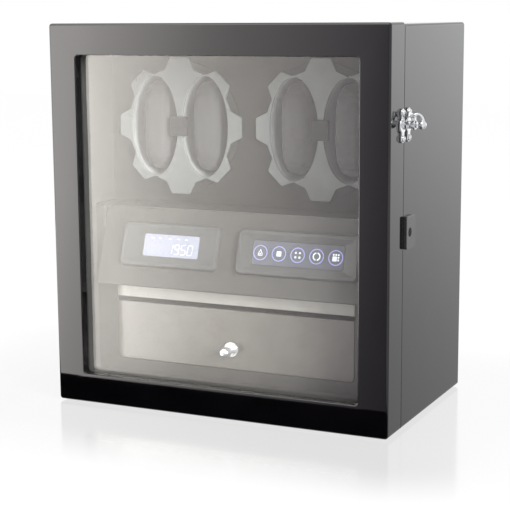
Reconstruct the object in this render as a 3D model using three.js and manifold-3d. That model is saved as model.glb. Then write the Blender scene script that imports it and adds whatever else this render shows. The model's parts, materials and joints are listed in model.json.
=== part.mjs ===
// Watch winder box with a glazed door, two driven rotors and a drawer, in millimetres.
// X runs to the right, Y from the door's face to the back, and Z up from the undersides of the feet.

import * as THREE from "three";
import { mergeVertices, toCreasedNormals } from "three/addons/utils/BufferGeometryUtils.js";
import Module from "manifold-3d";

const wasm = await Module();
wasm.setup();

// Shared clearances
const seatGap = 0.3; // between a piece and its seat
const runningGap = 0.5; // between pieces that turn past each other
const overrun = 2; // how far a cut runs past the face it leaves through

// Sides of round pieces
const largeSides = 36;
const roundSides = 16;
const smallSides = 10;
const creaseAngle = THREE.MathUtils.degToRad(36); // sharper edges than this are shaded as edges

// Box
const boxWidth = 350;
const boxDepth = 215;
const doorHeight = 373;
const doorDepth = 36;
const cabinetDrop = 1.5; // the cabinet's top lies this far under the door's
const seamGap = 0.6;
const wallThickness = 15;
const cornerRadius = 3.2; // along the long edges
const edgeRadius = 2.4; // round the door's face and the cabinet's back
const footHeight = 1.5;
const footRadius = 8;
const footInset = 25;
const ledgeHeight = 195; // top of the ledge that parts the winding chamber from the console and drawer

const sideFace = boxWidth / 2;
const doorTop = footHeight + doorHeight;
const cabinetTop = doorTop - cabinetDrop;
const cabinetFront = doorDepth + seamGap;
const innerSide = sideFace - wallThickness;
const innerBottom = footHeight + wallThickness;
const innerTop = cabinetTop - wallThickness;
const fittedSide = innerSide - seatGap; // where a piece fitted between the cabinet's walls ends

// Back panel and power jack
const backPanelThickness = 4;
const backPanelInset = 2;
const backRebateWidth = 5;
const jackX = 110;
const jackZ = 132;
const jackBodyRadius = 5.5;
const jackFlangeRadius = 7.5;
const jackFlangeThickness = 1.2;
const jackLength = 15;
const jackSocketRadius = 3.2;
const jackSocketDepth = 10;
const jackPinRadius = 1;
const jackPinInset = 1;

const backRebateFloor = boxDepth - backPanelInset - backPanelThickness - seatGap;
const backPanelFront = backRebateFloor + seatGap;
const backPanelBack = backPanelFront + backPanelThickness;

// Door window, glass and the strip that holds the glass
const windowSideBorder = 29.5;
const windowTopBorder = 30;
const windowBottomBorder = 29;
const windowCornerRadius = 4;
const windowLip = 9.7; // depth of the frame in front of the glass
const glassThickness = 3.7;
const glassRebate = 4.5; // how far the glass reaches under the frame
const retainerDepth = 20;
const retainerSetback = 0.5; // the strip's inner face lies this far outside the window's edge

const windowSide = sideFace - windowSideBorder;
const windowBottom = footHeight + windowBottomBorder;
const windowTop = doorTop - windowTopBorder;
const glassFront = windowLip + seatGap;
const glassBack = glassFront + glassThickness;
const retainerFront = glassBack + seatGap;

// Hinges on the left side
const hingeKnuckleRadius = 3.3;
const hingePinRadius = 1.5;
const hingeLeafThickness = 1.6;
const hingeLeafWidth = 18;
const hingeKnuckleHeight = 16;
const hingeKnuckles = 3;
const hingeHeadRadius = 2.4;
const hingeHeadHeight = 1.2;
const hingeEndBorder = 72; // from the door's top or bottom to the middle of a hinge

const hingeX = -sideFace - runningGap - hingeKnuckleRadius;
const hingeY = doorDepth + seamGap / 2;
const hingeHeights = [footHeight + hingeEndBorder, doorTop - hingeEndBorder];

// Catch on the right side
const catchPlateThickness = 2;
const catchPlateRadius = 7;
const catchLobeRadius = 3.9;
const catchScrewSpacing = 23;
const catchWaist = 6;
const catchHeight = 283.5;
const catchDoorY = 28;
const catchScrewHeadRadius = 2.9;
const catchScrewHeadHeight = 1.9;
const catchDomeSteps = 3;
const catchScrewShankRadius = 1.3;
const catchScrewLength = 9;
const catchStudRadius = 1.9;
const catchWasherRadius = 3.7;
const catchWasherThickness = 2.5;
const catchHeadRadius = 3;
const catchHeadThickness = 1;
const catchPostRadius = 1.9;
const catchPostRise = 2.6; // the post's centre lies this far above the pivot's
const leverThickness = 3.4;
const leverHubRadius = 4.7;
const leverNeckWidth = 4.2;
const leverNeckReach = 4.7; // from the pivot towards the post
const leverNeckRise = 6.8;
const leverArmWidth = 3.2;
const leverClawWidth = 2.2;
const leverClawDrop = 1.4; // how far the claw's lip reaches below the post's top
const leverRestLift = THREE.MathUtils.degToRad(14);
const swanRadius = 1.7;
const swanRise = 3.4;
const swanSteps = 6;
const swanSides = 6;
const ballRadius = 4;
const ballRings = 7;

const catchSeat = sideFace + seatGap;
const catchPlateFace = catchSeat + catchPlateThickness;
const leverInner = catchPlateFace + catchWasherThickness + seatGap;
const leverOuter = leverInner + leverThickness;
const catchHeadInner = leverOuter + seatGap;
const ballX = catchHeadInner + catchHeadThickness + runningGap + ballRadius;
const ballReach = ballX - leverInner;
const catchPivotY = cabinetFront + catchPlateRadius + seatGap;
const catchPostY = catchDoorY + runningGap;
const postReach = Math.hypot(catchPivotY - catchPostY, catchPostRise);
const postAngle = Math.atan2(catchPostRise, catchPivotY - catchPostY);

// Lock on the right side
const lockSize = 30; // top to bottom
const lockDepth = 24; // front to back
const lockThickness = 3.2;
const lockCornerRadius = 2;
const lockFarCornerRadius = 5;
const lockEdgeBevel = 0.6;
const lockDrop = 9.3; // from the ledge's top down to the lock's middle
const lockKeyInset = 8.9; // from the block's front edge to the key's middle
const plugRadius = 3.75;
const keyholeWidth = 1.1;
const keyholeHeight = 4.6;
const keyholeDepth = 3;
const barrelRadius = 6;
const camThickness = 3;
const camHubRadius = 6;
const camReach = 22;
const camWidth = 8;
const camStandoff = 2; // between the cabinet's wall and the cam
const camSlotGap = 1;

const lockY = cabinetFront + lockKeyInset;
const lockHeight = ledgeHeight - lockDrop;
const camRight = innerSide - camStandoff;
const camLeft = camRight - camThickness;

// Winding chamber
const linerThickness = 4.7;
const panelThickness = 6;
const panelFront = 86.5;
const panelSkirt = 12; // how far the rotor panel runs down behind the ledge
const lightBarLength = 220;
const lightBarFront = 46;
const lightBarDepth = 12;
const lightBarHeight = 6;
const lightBarChamfer = 2.5;

const linerSide = fittedSide - linerThickness;
const linerTop = innerTop - seatGap - linerThickness;
const linerFront = cabinetFront + runningGap;

// Drive behind the rotors
const gearModule = 1.25;
const gearTeeth = 40;
const pinionTeeth = 12;
const gearWidth = 7;
const gearAddendumShare = 0.8;
const gearDedendumShare = 1.1;
const gearFlankAngle = THREE.MathUtils.degToRad(20);
const gearBacklash = 0.25; // each tooth flank is this much thinner than the full tooth
const gearCentreGap = 0.2;
const axleRadius = 4;
const journalRadius = 3;
const bearingRadius = 9;
const bearingWidth = 5;
const frameSheet = 3;
const frameSpacing = 17; // between the frame's front and rear sheets
const frameBottom = 222;
const frameTop = 332;
const gearRunGap = 4;
const motorRadius = 18.5;
const motorLength = 28;
const motorCapRadius = 12;
const motorCapLength = 4;
const pilotRadius = 6;
const shaftRadius = 2.5;
const shaftDepth = 9; // how far the pinion's shaft runs into the motor
const motorRoom = 5.7; // between the motors' caps and the back panel

// Rotors
const rotorX = 76;
const rotorZ = 272.5;
const plateFront = 81;
const plateThickness = 3;
const lobeCount = 8;
const lobeTipRadius = 68;
const lobeTipWidth = 20;
const lobeBaseWidth = 32;
const lobeCornerRadius = 2.5;
const valleyRadius = 58;
const valleyRoundShare = 0.25; // radius of the valley's round as a share of its distance from the hub
const pocketOffset = 28;
const pocketHalfWidth = 25.5;
const pocketHalfHeight = 50;
const pocketSides = 28;
const flangeRadius = 65;
const flangeThickness = 1.7;
const cupWall = 1.5;
const cupFloorRadius = 61.2;
const bossRadius = 11;
const bossLength = 14.7;
const coverWidth = 18.5;
const coverHeight = 19.5;
const coverThickness = 2.5;
const coverCornerRadius = 1.5;
const coverBevel = 0.6;

const plateBack = plateFront + plateThickness;
const cupFront = plateBack + seatGap;
const motorFront = backPanelFront - motorRoom - motorCapLength - motorLength;
const frameBack = motorFront - seatGap;
const rearSheet = frameBack - frameSheet;
const frameMiddle = rearSheet - frameSpacing;
const frameFront = frameMiddle - frameSheet;
const bearingFront = frameFront - (bearingWidth - frameSheet) / 2;
const bossBack = bearingFront - runningGap;
const cupBack = bossBack - bossLength;
const pocketFloor = cupBack - cupWall;
const cupReach = cupFloorRadius + runningGap;
const panelHoleRadius = cupReach + runningGap;

// Watch cushions
const cushionWidth = 36;
const cushionHeight = 95.5;
const cushionProud = 5; // in front of the faceplate
const cushionOutlineShare = 3;
const cushionDepthShare = 3.5;
const cushionWaistShare = 0.03;
const cushionEndShare = 0.02;
const cushionSides = 24;
const cushionRings = 9;

const cushionFront = plateFront - cushionProud;
const cushionDepth = pocketFloor - seatGap - cushionFront;

// Where the drive lies
const gearFront = frameMiddle + gearRunGap;
const gearBack = gearFront + gearWidth;
const axleFront = cupBack + runningGap;
const journalBack = frameBack - seatGap;
const pilotFront = rearSheet + seatGap;
const gearDistance = (gearModule * (gearTeeth + pinionTeeth)) / 2 + gearCentreGap;

// Front surround, drawer and the rail above it
const surroundFront = 40;
const surroundThickness = 4;
const drawerHalfWidth = 127.7;
const drawerBottom = 40.5;
const drawerHeight = 59;
const drawerFrontThickness = 6;
const drawerCornerRadius = 5;
const drawerBevel = 0.6;
const drawerTopGap = 4.6;
const railHeight = 12.9;
const trayWall = 3;
const trayHeight = 52;
const trayLength = 119;
const traySide = 4.5; // the tray is this much narrower than the drawer's front on each side
const trayRise = 2.5;
const housingWall = 3.5;
const housingExtra = 4; // how far the housing runs past the tray
const housingLegWidth = 8;
const knobHeight = 20; // above the drawer's bottom edge
const knobFlangeRadius = 7.5;
const knobFlangeThickness = 2;
const knobStepRadius = 5.6;
const knobStepThickness = 1.8;
const knobNeckRadius = 3.1;
const knobNeckLength = 4.4;
const knobCollarRadius = 4.6;
const knobCollarThickness = 1.4;
const knobBallRadius = 5.9;
const knobBallSteps = 5;
const knobTipRadius = 2;
const knobTipLength = 1.2;
const knobSpigotRadius = 2.4;
const knobSpigotLength = 5;

const drawerTop = drawerBottom + drawerHeight;
const railBottom = drawerTop + drawerTopGap;
const railTop = railBottom + railHeight;
const surroundBack = surroundFront + surroundThickness;
const drawerOpening = drawerHalfWidth + seatGap;
const drawerBack = surroundFront + drawerFrontThickness;
const trayHalfWidth = drawerHalfWidth - traySide;
const trayBottom = drawerBottom + trayRise;
const trayFront = drawerBack + seatGap;
const trayBack = trayFront + trayLength;
const housingInnerSide = trayHalfWidth + seatGap;
const housingInnerBottom = trayBottom - seatGap;
const housingInnerTop = trayBottom + trayHeight + runningGap;
const housingSide = housingInnerSide + housingWall;
const housingTop = housingInnerTop + housingWall;

// Console with the display and the touch keys
const consoleHalfWidth = 140;
const consoleBottom = 118.5;
const consoleBottomFront = 21.8;
const consoleSlope = THREE.MathUtils.degToRad(18.2);
const consoleThickness = 3;
const consoleBack = 50;
const consoleTopRadius = 4;
const consoleBottomRadius = 2;
const bezelHeight = 44.5;
const bezelMiddleHeight = 158.9;
const bezelRaise = 4;
const bezelCornerRadius = 5;
const bezelTaper = 1.2;
const bezelRim = 4;
const dishDepth = 2;
const dishCornerRadius = 2.5;
const displayBezelWidth = 106.5;
const displayBezelX = -63.25;
const displayWidth = 61;
const displayHeight = 22.5;
const displayShift = 1.7; // the display lies this far right of its bezel's middle
const touchBezelWidth = 126;
const touchBezelX = 73;
const touchWidth = 94;
const touchHeight = 24;
const screenInset = 0.3;

const consoleTopFront = consoleBottomFront + (ledgeHeight - consoleBottom) * Math.tan(consoleSlope);
const bezelMiddleFront = consoleBottomFront + (bezelMiddleHeight - consoleBottom) * Math.tan(consoleSlope);

// Control board on the drawer's housing
const boardWidth = 118;
const boardDepth = 66;
const boardThickness = 1.6;
const boardX = 30;
const boardFront = 66;
const chipSize = 14;
const chipHeight = 2.2;
const socketWidth = 32;
const socketDepth = 9;
const socketHeight = 9;

// Materials

function material(color, roughness, metalness, extra = {}) {
  return new THREE.MeshStandardMaterial({ color, roughness, metalness, ...extra });
}

const blackLacquer = () => material(0x0b0a0c, 0.08, 0);
const clearGlass = () => material(0xdfe3e2, 0.03, 0, { transparent: true, opacity: 0.28 });
const chromePlate = () => material(0xd9dbde, 0.08, 1);
const steel = () => material(0x9a9da1, 0.35, 1);
const lining = () => material(0x7e7a76, 0.6, 0);
const darkLining = () => material(0x5f5b59, 0.6, 0);
const silverFace = () => material(0xc3c4c6, 0.35, 0.8);
const silverCup = () => material(0xb4b6b9, 0.28, 0.75);
const darkPlastic = () => material(0x4b4a4e, 0.45, 0);
const glossPlastic = () => material(0x08080a, 0.12, 0);
const cushionSkin = () => material(0x55535a, 0.75, 0);
const litScreen = () => material(0x9fb4ff, 0.2, 0, { emissive: 0x6f86e8, emissiveIntensity: 0.6 });
const greyPlastic = () => material(0xd8d6d0, 0.5, 0);
const greenBoard = () => material(0x1c5a34, 0.5, 0);
const rubber = () => material(0x1b1b1c, 0.85, 0);
const blackBoard = () => material(0x1d1c1e, 0.7, 0);

// Geometry helpers

// Merges a closed geometry's vertices and reads it as a solid.
function toSolid(geometry) {
  const bare = geometry.index ? geometry.clone() : mergeVertices(geometry.clone());
  bare.deleteAttribute("normal");
  bare.deleteAttribute("uv");
  const merged = mergeVertices(bare);
  const index = merged.index.array;
  const triangles = [];
  for (let i = 0; i < index.length; i += 3) {
    const [a, b, c] = index.slice(i, i + 3);
    if (a !== b && b !== c && c !== a) triangles.push(a, b, c);
  }
  return new wasm.Manifold(
    new wasm.Mesh({
      numProp: 3,
      vertProperties: new Float32Array(merged.attributes.position.array),
      triVerts: new Uint32Array(triangles),
    }),
  );
}

function toGeometry(solid) {
  const mesh = solid.getMesh();
  const geometry = new THREE.BufferGeometry();
  geometry.setAttribute("position", new THREE.BufferAttribute(mesh.vertProperties, 3));
  geometry.setIndex(new THREE.BufferAttribute(mesh.triVerts, 1));
  return geometry;
}

// Joins the first list of geometries and cuts the second from it.
function combine(pieces, cuts = []) {
  let solid = toSolid(pieces[0]);
  for (const piece of pieces.slice(1)) solid = solid.add(toSolid(piece));
  for (const cut of cuts) solid = solid.subtract(toSolid(cut));
  return toGeometry(solid);
}

function block([left, right], [front, back], [bottom, top]) {
  const geometry = new THREE.BoxGeometry(right - left, back - front, top - bottom);
  return geometry.translate((left + right) / 2, (front + back) / 2, (bottom + top) / 2);
}

// An outline through corners given as [x, y, radius], the radius being left out at a sharp one.
function outline(corners, Kind = THREE.Shape) {
  const path = new Kind();
  const points = corners.map(([x, y]) => new THREE.Vector2(x, y));
  corners.forEach(([, , radius = 0], i) => {
    const corner = points[i];
    const before = points.at(i - 1).clone().sub(corner).normalize();
    const after = points[(i + 1) % points.length].clone().sub(corner).normalize();
    const reach = radius / Math.tan(Math.acos(before.dot(after)) / 2);
    const start = before.multiplyScalar(reach).add(corner);
    const end = after.multiplyScalar(reach).add(corner);
    if (i === 0) path.moveTo(start.x, start.y);
    else path.lineTo(start.x, start.y);
    if (radius > 0) path.quadraticCurveTo(corner.x, corner.y, end.x, end.y);
  });
  return path;
}

function rectangle([left, right], [bottom, top], radius = 0, Kind = THREE.Shape) {
  const corners = [
    [left, bottom, radius],
    [right, bottom, radius],
    [right, top, radius],
    [left, top, radius],
  ];
  return outline(corners, Kind);
}

function ellipse(centre, halfWidth, halfHeight, sides, Kind = THREE.Shape) {
  const points = Array.from({ length: sides }, (_, i) => {
    const angle = (2 * Math.PI * i) / sides;
    return new THREE.Vector2(centre + halfWidth * Math.cos(angle), halfHeight * Math.sin(angle));
  });
  return new Kind(points);
}

function extruded(shape, length, bevel, steps) {
  return new THREE.ExtrudeGeometry(shape, {
    depth: length - 2 * bevel,
    curveSegments: steps,
    bevelEnabled: bevel > 0,
    bevelThickness: bevel,
    bevelSize: bevel,
    bevelOffset: -bevel,
    bevelSegments: steps,
  }).translate(0, 0, bevel);
}

// An outline in X and Z, with its thickness from front to back.
function plate(shape, [front, back], { bevel = 0, steps = 2 } = {}) {
  return extruded(shape, back - front, bevel, steps)
    .rotateX(Math.PI / 2)
    .translate(0, back, 0);
}

// An outline in Y and Z, with its thickness from left to right.
function sidePlate(shape, [left, right], { bevel = 0, steps = 2 } = {}) {
  const turn = new THREE.Matrix4().makeBasis(
    new THREE.Vector3(0, 1, 0),
    new THREE.Vector3(0, 0, 1),
    new THREE.Vector3(1, 0, 0),
  );
  return extruded(shape, right - left, bevel, steps).applyMatrix4(turn).translate(left, 0, 0);
}

// Round bars along each axis, from one end to the other, about a centre in the other two axes.
function barAlongX(radius, [left, right], [y, z], sides = roundSides) {
  const bar = new THREE.CylinderGeometry(radius, radius, right - left, sides).rotateZ(-Math.PI / 2);
  return bar.translate((left + right) / 2, y, z);
}

function barAlongY(radius, [front, back], [x, z] = [0, 0], sides = roundSides) {
  const bar = new THREE.CylinderGeometry(radius, radius, back - front, sides);
  return bar.translate(x, (front + back) / 2, z);
}

function barAlongZ(radius, [bottom, top], [x, y] = [0, 0], sides = roundSides) {
  const bar = new THREE.CylinderGeometry(radius, radius, top - bottom, sides).rotateX(Math.PI / 2);
  return bar.translate(x, y, (bottom + top) / 2);
}

// A profile of [radius, place] pairs turned about Y.
function turned(profile, sides = roundSides) {
  const points = profile.map(([radius, place]) => new THREE.Vector2(radius, place));
  return new THREE.LatheGeometry(points, sides);
}

function arcPoints(radius, centre, from, to, steps) {
  return Array.from({ length: steps + 1 }, (_, i) => {
    const angle = from + ((to - from) * i) / steps;
    return [radius * Math.cos(angle), centre + radius * Math.sin(angle)];
  });
}

// A closed body through rings of points, each ring running the same way round.
function loft(rings) {
  const sides = rings[0].length;
  const faces = [];
  for (let ring = 0; ring + 1 < rings.length; ring++) {
    for (let side = 0; side < sides; side++) {
      const next = (side + 1) % sides;
      const [a, b] = [ring * sides + side, ring * sides + next];
      faces.push(a, b, b + sides, a, b + sides, a + sides);
    }
  }
  const last = (rings.length - 1) * sides;
  for (let side = 1; side + 1 < sides; side++) {
    faces.push(0, side + 1, side, last, last + side, last + side + 1);
  }
  const geometry = new THREE.BufferGeometry().setFromPoints(rings.flat());
  geometry.setIndex(faces);
  return geometry;
}

// The points of an upright outline at one depth.
function ringAt(shape, depth, steps = 2) {
  return shape.getPoints(steps).map((point) => new THREE.Vector3(point.x, depth, point.y));
}

function mirroredPair(value) {
  return [-value, value];
}

// Scene graph helpers

function place(parent, name, geometry, skin, position = [0, 0, 0]) {
  const mesh = new THREE.Mesh(toCreasedNormals(toGeometry(toSolid(geometry)), creaseAngle), skin);
  mesh.name = name;
  mesh.position.set(...position);
  parent.add(mesh);
  return mesh;
}

// A group that turns about a pivot, while its pieces keep the box's own coordinates.
function pivotGroup(parent, pivot) {
  const outer = new THREE.Group();
  outer.position.set(...pivot);
  const inner = new THREE.Group();
  inner.position.copy(outer.position).negate();
  outer.add(inner);
  parent.add(outer);
  return inner;
}

// Cabinet

function catchScrewHoles(y) {
  return mirroredPair(catchScrewSpacing / 2).map((rise) => {
    const hole = [sideFace - catchScrewLength - seatGap, sideFace + overrun];
    return barAlongX(catchScrewShankRadius + seatGap, hole, [y, catchHeight + rise], smallSides);
  });
}

function cabinetShell() {
  const shape = rectangle(mirroredPair(sideFace), [footHeight, cabinetTop], cornerRadius);
  shape.holes.push(rectangle(mirroredPair(innerSide), [innerBottom, innerTop], 0, THREE.Path));
  const tube = plate(shape, [cabinetFront - edgeRadius, boxDepth], { bevel: edgeRadius, steps: 3 });
  const frontEnd = block(
    mirroredPair(sideFace + overrun),
    [cabinetFront - edgeRadius - overrun, cabinetFront],
    [footHeight - overrun, cabinetTop + overrun],
  );
  const rebate = block(
    mirroredPair(innerSide + backRebateWidth),
    [backRebateFloor, boxDepth + overrun],
    [innerBottom - backRebateWidth, innerTop + backRebateWidth],
  );
  const wallSpan = [innerSide - overrun, sideFace + overrun];
  const barrelHole = barAlongX(barrelRadius + seatGap, wallSpan, [lockY, lockHeight]);
  return combine([tube], [frontEnd, rebate, barrelHole, ...catchScrewHoles(catchPivotY)]);
}

function backPanel() {
  const lip = backRebateWidth - seatGap;
  const shape = rectangle(mirroredPair(innerSide + lip), [innerBottom - lip, innerTop + lip]);
  const hole = [backPanelFront - overrun, backPanelBack + overrun];
  return combine(
    [plate(shape, [backPanelFront, backPanelBack])],
    [barAlongY(jackBodyRadius + seatGap, hole, [jackX, jackZ])],
  );
}

function powerJack() {
  const flangeFront = backPanelBack + seatGap;
  const back = flangeFront + jackFlangeThickness;
  const front = back - jackLength;
  const socketFloor = back - jackSocketDepth;
  const pinBack = back - jackPinInset;
  return turned([
    [0, front],
    [jackBodyRadius, front],
    [jackBodyRadius, flangeFront],
    [jackFlangeRadius, flangeFront],
    [jackFlangeRadius, back],
    [jackSocketRadius, back],
    [jackSocketRadius, socketFloor],
    [jackPinRadius, socketFloor],
    [jackPinRadius, pinBack],
    [0, pinBack],
  ]);
}

function foot() {
  return barAlongZ(footRadius, [0, footHeight - seatGap]);
}

function chamberLiner() {
  const shape = outline([
    [-fittedSide, ledgeHeight + seatGap],
    [-linerSide, ledgeHeight + seatGap],
    [-linerSide, linerTop],
    [linerSide, linerTop],
    [linerSide, ledgeHeight + seatGap],
    [fittedSide, ledgeHeight + seatGap],
    [fittedSide, innerTop - seatGap],
    [-fittedSide, innerTop - seatGap],
  ]);
  return plate(shape, [linerFront, panelFront - seatGap]);
}

function rotorPanel() {
  const bottom = ledgeHeight - panelSkirt;
  const shape = rectangle(mirroredPair(fittedSide), [bottom, innerTop - seatGap]);
  const depth = [panelFront, panelFront + panelThickness];
  const holes = mirroredPair(rotorX).map((x) =>
    barAlongY(panelHoleRadius, [depth[0] - overrun, depth[1] + overrun], [x, rotorZ], largeSides),
  );
  return combine([plate(shape, depth)], holes);
}

function lightBar() {
  const top = linerTop - seatGap;
  const bottom = top - lightBarHeight;
  const back = lightBarFront + lightBarDepth;
  const shape = outline([
    [lightBarFront, top],
    [lightBarFront, bottom + lightBarChamfer],
    [lightBarFront + lightBarChamfer, bottom],
    [back, bottom],
    [back, top],
  ]);
  return sidePlate(shape, mirroredPair(lightBarLength / 2));
}

function drawerSurround() {
  const step = railTop + seatGap;
  const radius = drawerCornerRadius + seatGap;
  const inner = consoleHalfWidth + seatGap;
  const shape = outline([
    [-fittedSide, innerBottom + seatGap],
    [fittedSide, innerBottom + seatGap],
    [fittedSide, ledgeHeight],
    [inner, ledgeHeight],
    [inner, step],
    [drawerOpening, step],
    [drawerOpening, drawerBottom - seatGap, radius],
    [-drawerOpening, drawerBottom - seatGap, radius],
    [-drawerOpening, step],
    [-inner, step],
    [-inner, ledgeHeight],
    [-fittedSide, ledgeHeight],
  ]);
  const camNotch = block(
    [camLeft - camSlotGap, fittedSide + overrun],
    [surroundFront - overrun, surroundBack + overrun],
    [lockHeight - camReach - camSlotGap, lockHeight + camHubRadius + camSlotGap],
  );
  return combine([plate(shape, [surroundFront, surroundBack], { steps: 3 })], [camNotch]);
}

function drawerTopRail() {
  const shape = rectangle(mirroredPair(drawerHalfWidth), [railBottom, railTop]);
  return plate(shape, [surroundFront, surroundBack], { bevel: drawerBevel });
}

function drawerHousing() {
  const legInner = housingSide - housingLegWidth;
  const floor = housingInnerBottom - housingWall;
  const shape = outline([
    [-housingSide, innerBottom + seatGap],
    [-legInner, innerBottom + seatGap],
    [-legInner, floor],
    [legInner, floor],
    [legInner, innerBottom + seatGap],
    [housingSide, innerBottom + seatGap],
    [housingSide, housingTop],
    [-housingSide, housingTop],
  ]);
  const inside = [housingInnerBottom, housingInnerTop];
  shape.holes.push(rectangle(mirroredPair(housingInnerSide), inside, 0, THREE.Path));
  return plate(shape, [trayFront, trayBack + housingExtra]);
}

// The console is hollow and open at the back, with its ledge running back to the rotor panel.
function consolePanel() {
  const skin = consoleThickness / Math.cos(consoleSlope);
  const slopeRun = Math.tan(consoleSlope);
  const cavityTop = ledgeHeight - consoleThickness;
  const cavityBottom = consoleBottom + consoleThickness;
  const wedge = outline([
    [consoleBack, ledgeHeight],
    [consoleTopFront, ledgeHeight, consoleTopRadius],
    [consoleBottomFront, consoleBottom, consoleBottomRadius],
    [consoleBack, consoleBottom],
  ]);
  const cavity = outline([
    [consoleBack + overrun, cavityTop],
    [consoleTopFront + skin - consoleThickness * slopeRun, cavityTop],
    [consoleBottomFront + skin + consoleThickness * slopeRun, cavityBottom],
    [consoleBack + overrun, cavityBottom],
  ]);
  const ledgeSide = linerSide - seatGap;
  const ledge = block(
    mirroredPair(ledgeSide),
    [consoleBack - consoleThickness, panelFront - seatGap],
    [cavityTop, ledgeHeight],
  );
  const ears = [-1, 1].map((side) => {
    const reach = [side * (consoleHalfWidth - consoleThickness), side * ledgeSide].sort((a, b) => a - b);
    return block(reach, [surroundBack + seatGap, consoleBack], [cavityTop, ledgeHeight]);
  });
  return combine(
    [
      sidePlate(wedge, mirroredPair(consoleHalfWidth), { steps: 4 }),
      ledge,
      ...ears,
    ],
    [sidePlate(cavity, mirroredPair(consoleHalfWidth - consoleThickness))],
  );
}

// A raised frame whose inner side slopes down to a window, with the console's face at Y = 0.
function bezel(width, windowWidth, windowHeight, windowShift) {
  const halfWidth = width / 2;
  const halfHeight = bezelHeight / 2;
  const front = -seatGap - bezelRaise;
  const dishFloor = front + dishDepth;
  const outer = (inset) =>
    rectangle(mirroredPair(halfWidth - inset), mirroredPair(halfHeight - inset), bezelCornerRadius);
  const body = loft([ringAt(outer(0), -seatGap), ringAt(outer(bezelTaper), front)]);
  const rim = bezelTaper + bezelRim;
  const mouth = rectangle(mirroredPair(halfWidth - rim), mirroredPair(halfHeight - rim), dishCornerRadius);
  const sides = [windowShift - windowWidth / 2, windowShift + windowWidth / 2];
  const opening = rectangle(sides, mirroredPair(windowHeight / 2), dishCornerRadius);
  const dish = loft([
    ringAt(opening, overrun),
    ringAt(opening, dishFloor),
    ringAt(mouth, front),
    ringAt(mouth, front - overrun),
  ]);
  return combine([body], [dish]);
}

function screen(width, height) {
  const halfWidth = width / 2 - seatGap;
  const halfHeight = height / 2 - seatGap;
  const shape = rectangle(mirroredPair(halfWidth), mirroredPair(halfHeight), dishCornerRadius - seatGap);
  const front = -seatGap - bezelRaise + dishDepth + screenInset;
  return plate(shape, [front, -seatGap]);
}

function controlBoard() {
  const back = boardFront + boardDepth;
  const bottom = housingTop + seatGap;
  const top = bottom + boardThickness;
  const [left, right] = [boardX - boardWidth / 2, boardX + boardWidth / 2];
  const middle = (boardFront + back) / 2;
  const chip = block(
    [boardX - chipSize / 2, boardX + chipSize / 2],
    [middle - chipSize / 2, middle + chipSize / 2],
    [bottom, top + chipHeight],
  );
  const socketLeft = left + socketDepth;
  const socket = block(
    [socketLeft, socketLeft + socketWidth],
    [back - 2 * socketDepth, back - socketDepth],
    [bottom, top + socketHeight],
  );
  return combine([block([left, right], [boardFront, back], [bottom, top]), chip, socket]);
}

// Drive

function driveFrame() {
  const roof = frameTop - frameSheet;
  const shape = outline([
    [frameFront, frameBottom],
    [frameMiddle, frameBottom],
    [frameMiddle, roof],
    [rearSheet, roof],
    [rearSheet, frameBottom],
    [frameBack, frameBottom],
    [frameBack, frameTop],
    [frameFront, frameTop],
  ]);
  const rear = [rearSheet - overrun, frameBack + overrun];
  const front = [frameFront - overrun, frameMiddle + overrun];
  const holes = mirroredPair(rotorX).flatMap((x) => [
    barAlongY(bearingRadius + seatGap, front, [x, rotorZ]),
    barAlongY(journalRadius + seatGap, rear, [x, rotorZ], smallSides),
    barAlongY(pilotRadius + seatGap, rear, [x, rotorZ - gearDistance]),
  ]);
  return combine([sidePlate(shape, mirroredPair(fittedSide))], holes);
}

function bearing() {
  const bore = axleRadius + seatGap;
  const back = bearingFront + bearingWidth;
  return turned([
    [bore, bearingFront],
    [bearingRadius, bearingFront],
    [bearingRadius, back],
    [bore, back],
    [bore, bearingFront],
  ]);
}

// Straight-flanked teeth, the first one pointing along the given angle.
function gearOutline(teeth, firstAngle) {
  const pitchRadius = (gearModule * teeth) / 2;
  const tipRadius = pitchRadius + gearModule * gearAddendumShare;
  const rootRadius = pitchRadius - gearModule * gearDedendumShare;
  const halfPitchWidth = (Math.PI * gearModule) / 4 - gearBacklash;
  const halfTip = halfPitchWidth - (tipRadius - pitchRadius) * Math.tan(gearFlankAngle);
  const halfRoot = halfPitchWidth + (pitchRadius - rootRadius) * Math.tan(gearFlankAngle);
  const tooth = [
    new THREE.Vector2(rootRadius, -halfRoot),
    new THREE.Vector2(tipRadius, -halfTip),
    new THREE.Vector2(tipRadius, halfTip),
    new THREE.Vector2(rootRadius, halfRoot),
  ];
  const centre = new THREE.Vector2();
  const points = Array.from({ length: teeth }, (_, i) => {
    const angle = firstAngle + (2 * Math.PI * i) / teeth;
    return tooth.map((point) => point.clone().rotateAround(centre, angle));
  });
  return new THREE.Shape(points.flat());
}

function driveGear() {
  return combine([
    plate(gearOutline(gearTeeth, -Math.PI / 2), [gearFront, gearBack]),
    barAlongY(axleRadius, [axleFront, gearBack]),
    barAlongY(journalRadius, [gearFront, journalBack], [0, 0], smallSides),
  ]);
}

function pinion() {
  const firstAngle = Math.PI / 2 + Math.PI / pinionTeeth;
  return combine([
    plate(gearOutline(pinionTeeth, firstAngle), [gearFront, gearBack]),
    barAlongY(shaftRadius, [gearFront, motorFront + shaftDepth], [0, 0], smallSides),
  ]);
}

function motor() {
  const boreRadius = shaftRadius + seatGap;
  const boreFloor = motorFront + shaftDepth + seatGap;
  const canBack = motorFront + motorLength;
  const capBack = canBack + motorCapLength;
  return turned([
    [0, boreFloor],
    [boreRadius, boreFloor],
    [boreRadius, pilotFront],
    [pilotRadius, pilotFront],
    [pilotRadius, motorFront],
    [motorRadius, motorFront],
    [motorRadius, canBack],
    [motorCapRadius, canBack],
    [motorCapRadius, capBack],
    [0, capBack],
  ]);
}

// Rotors

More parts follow.
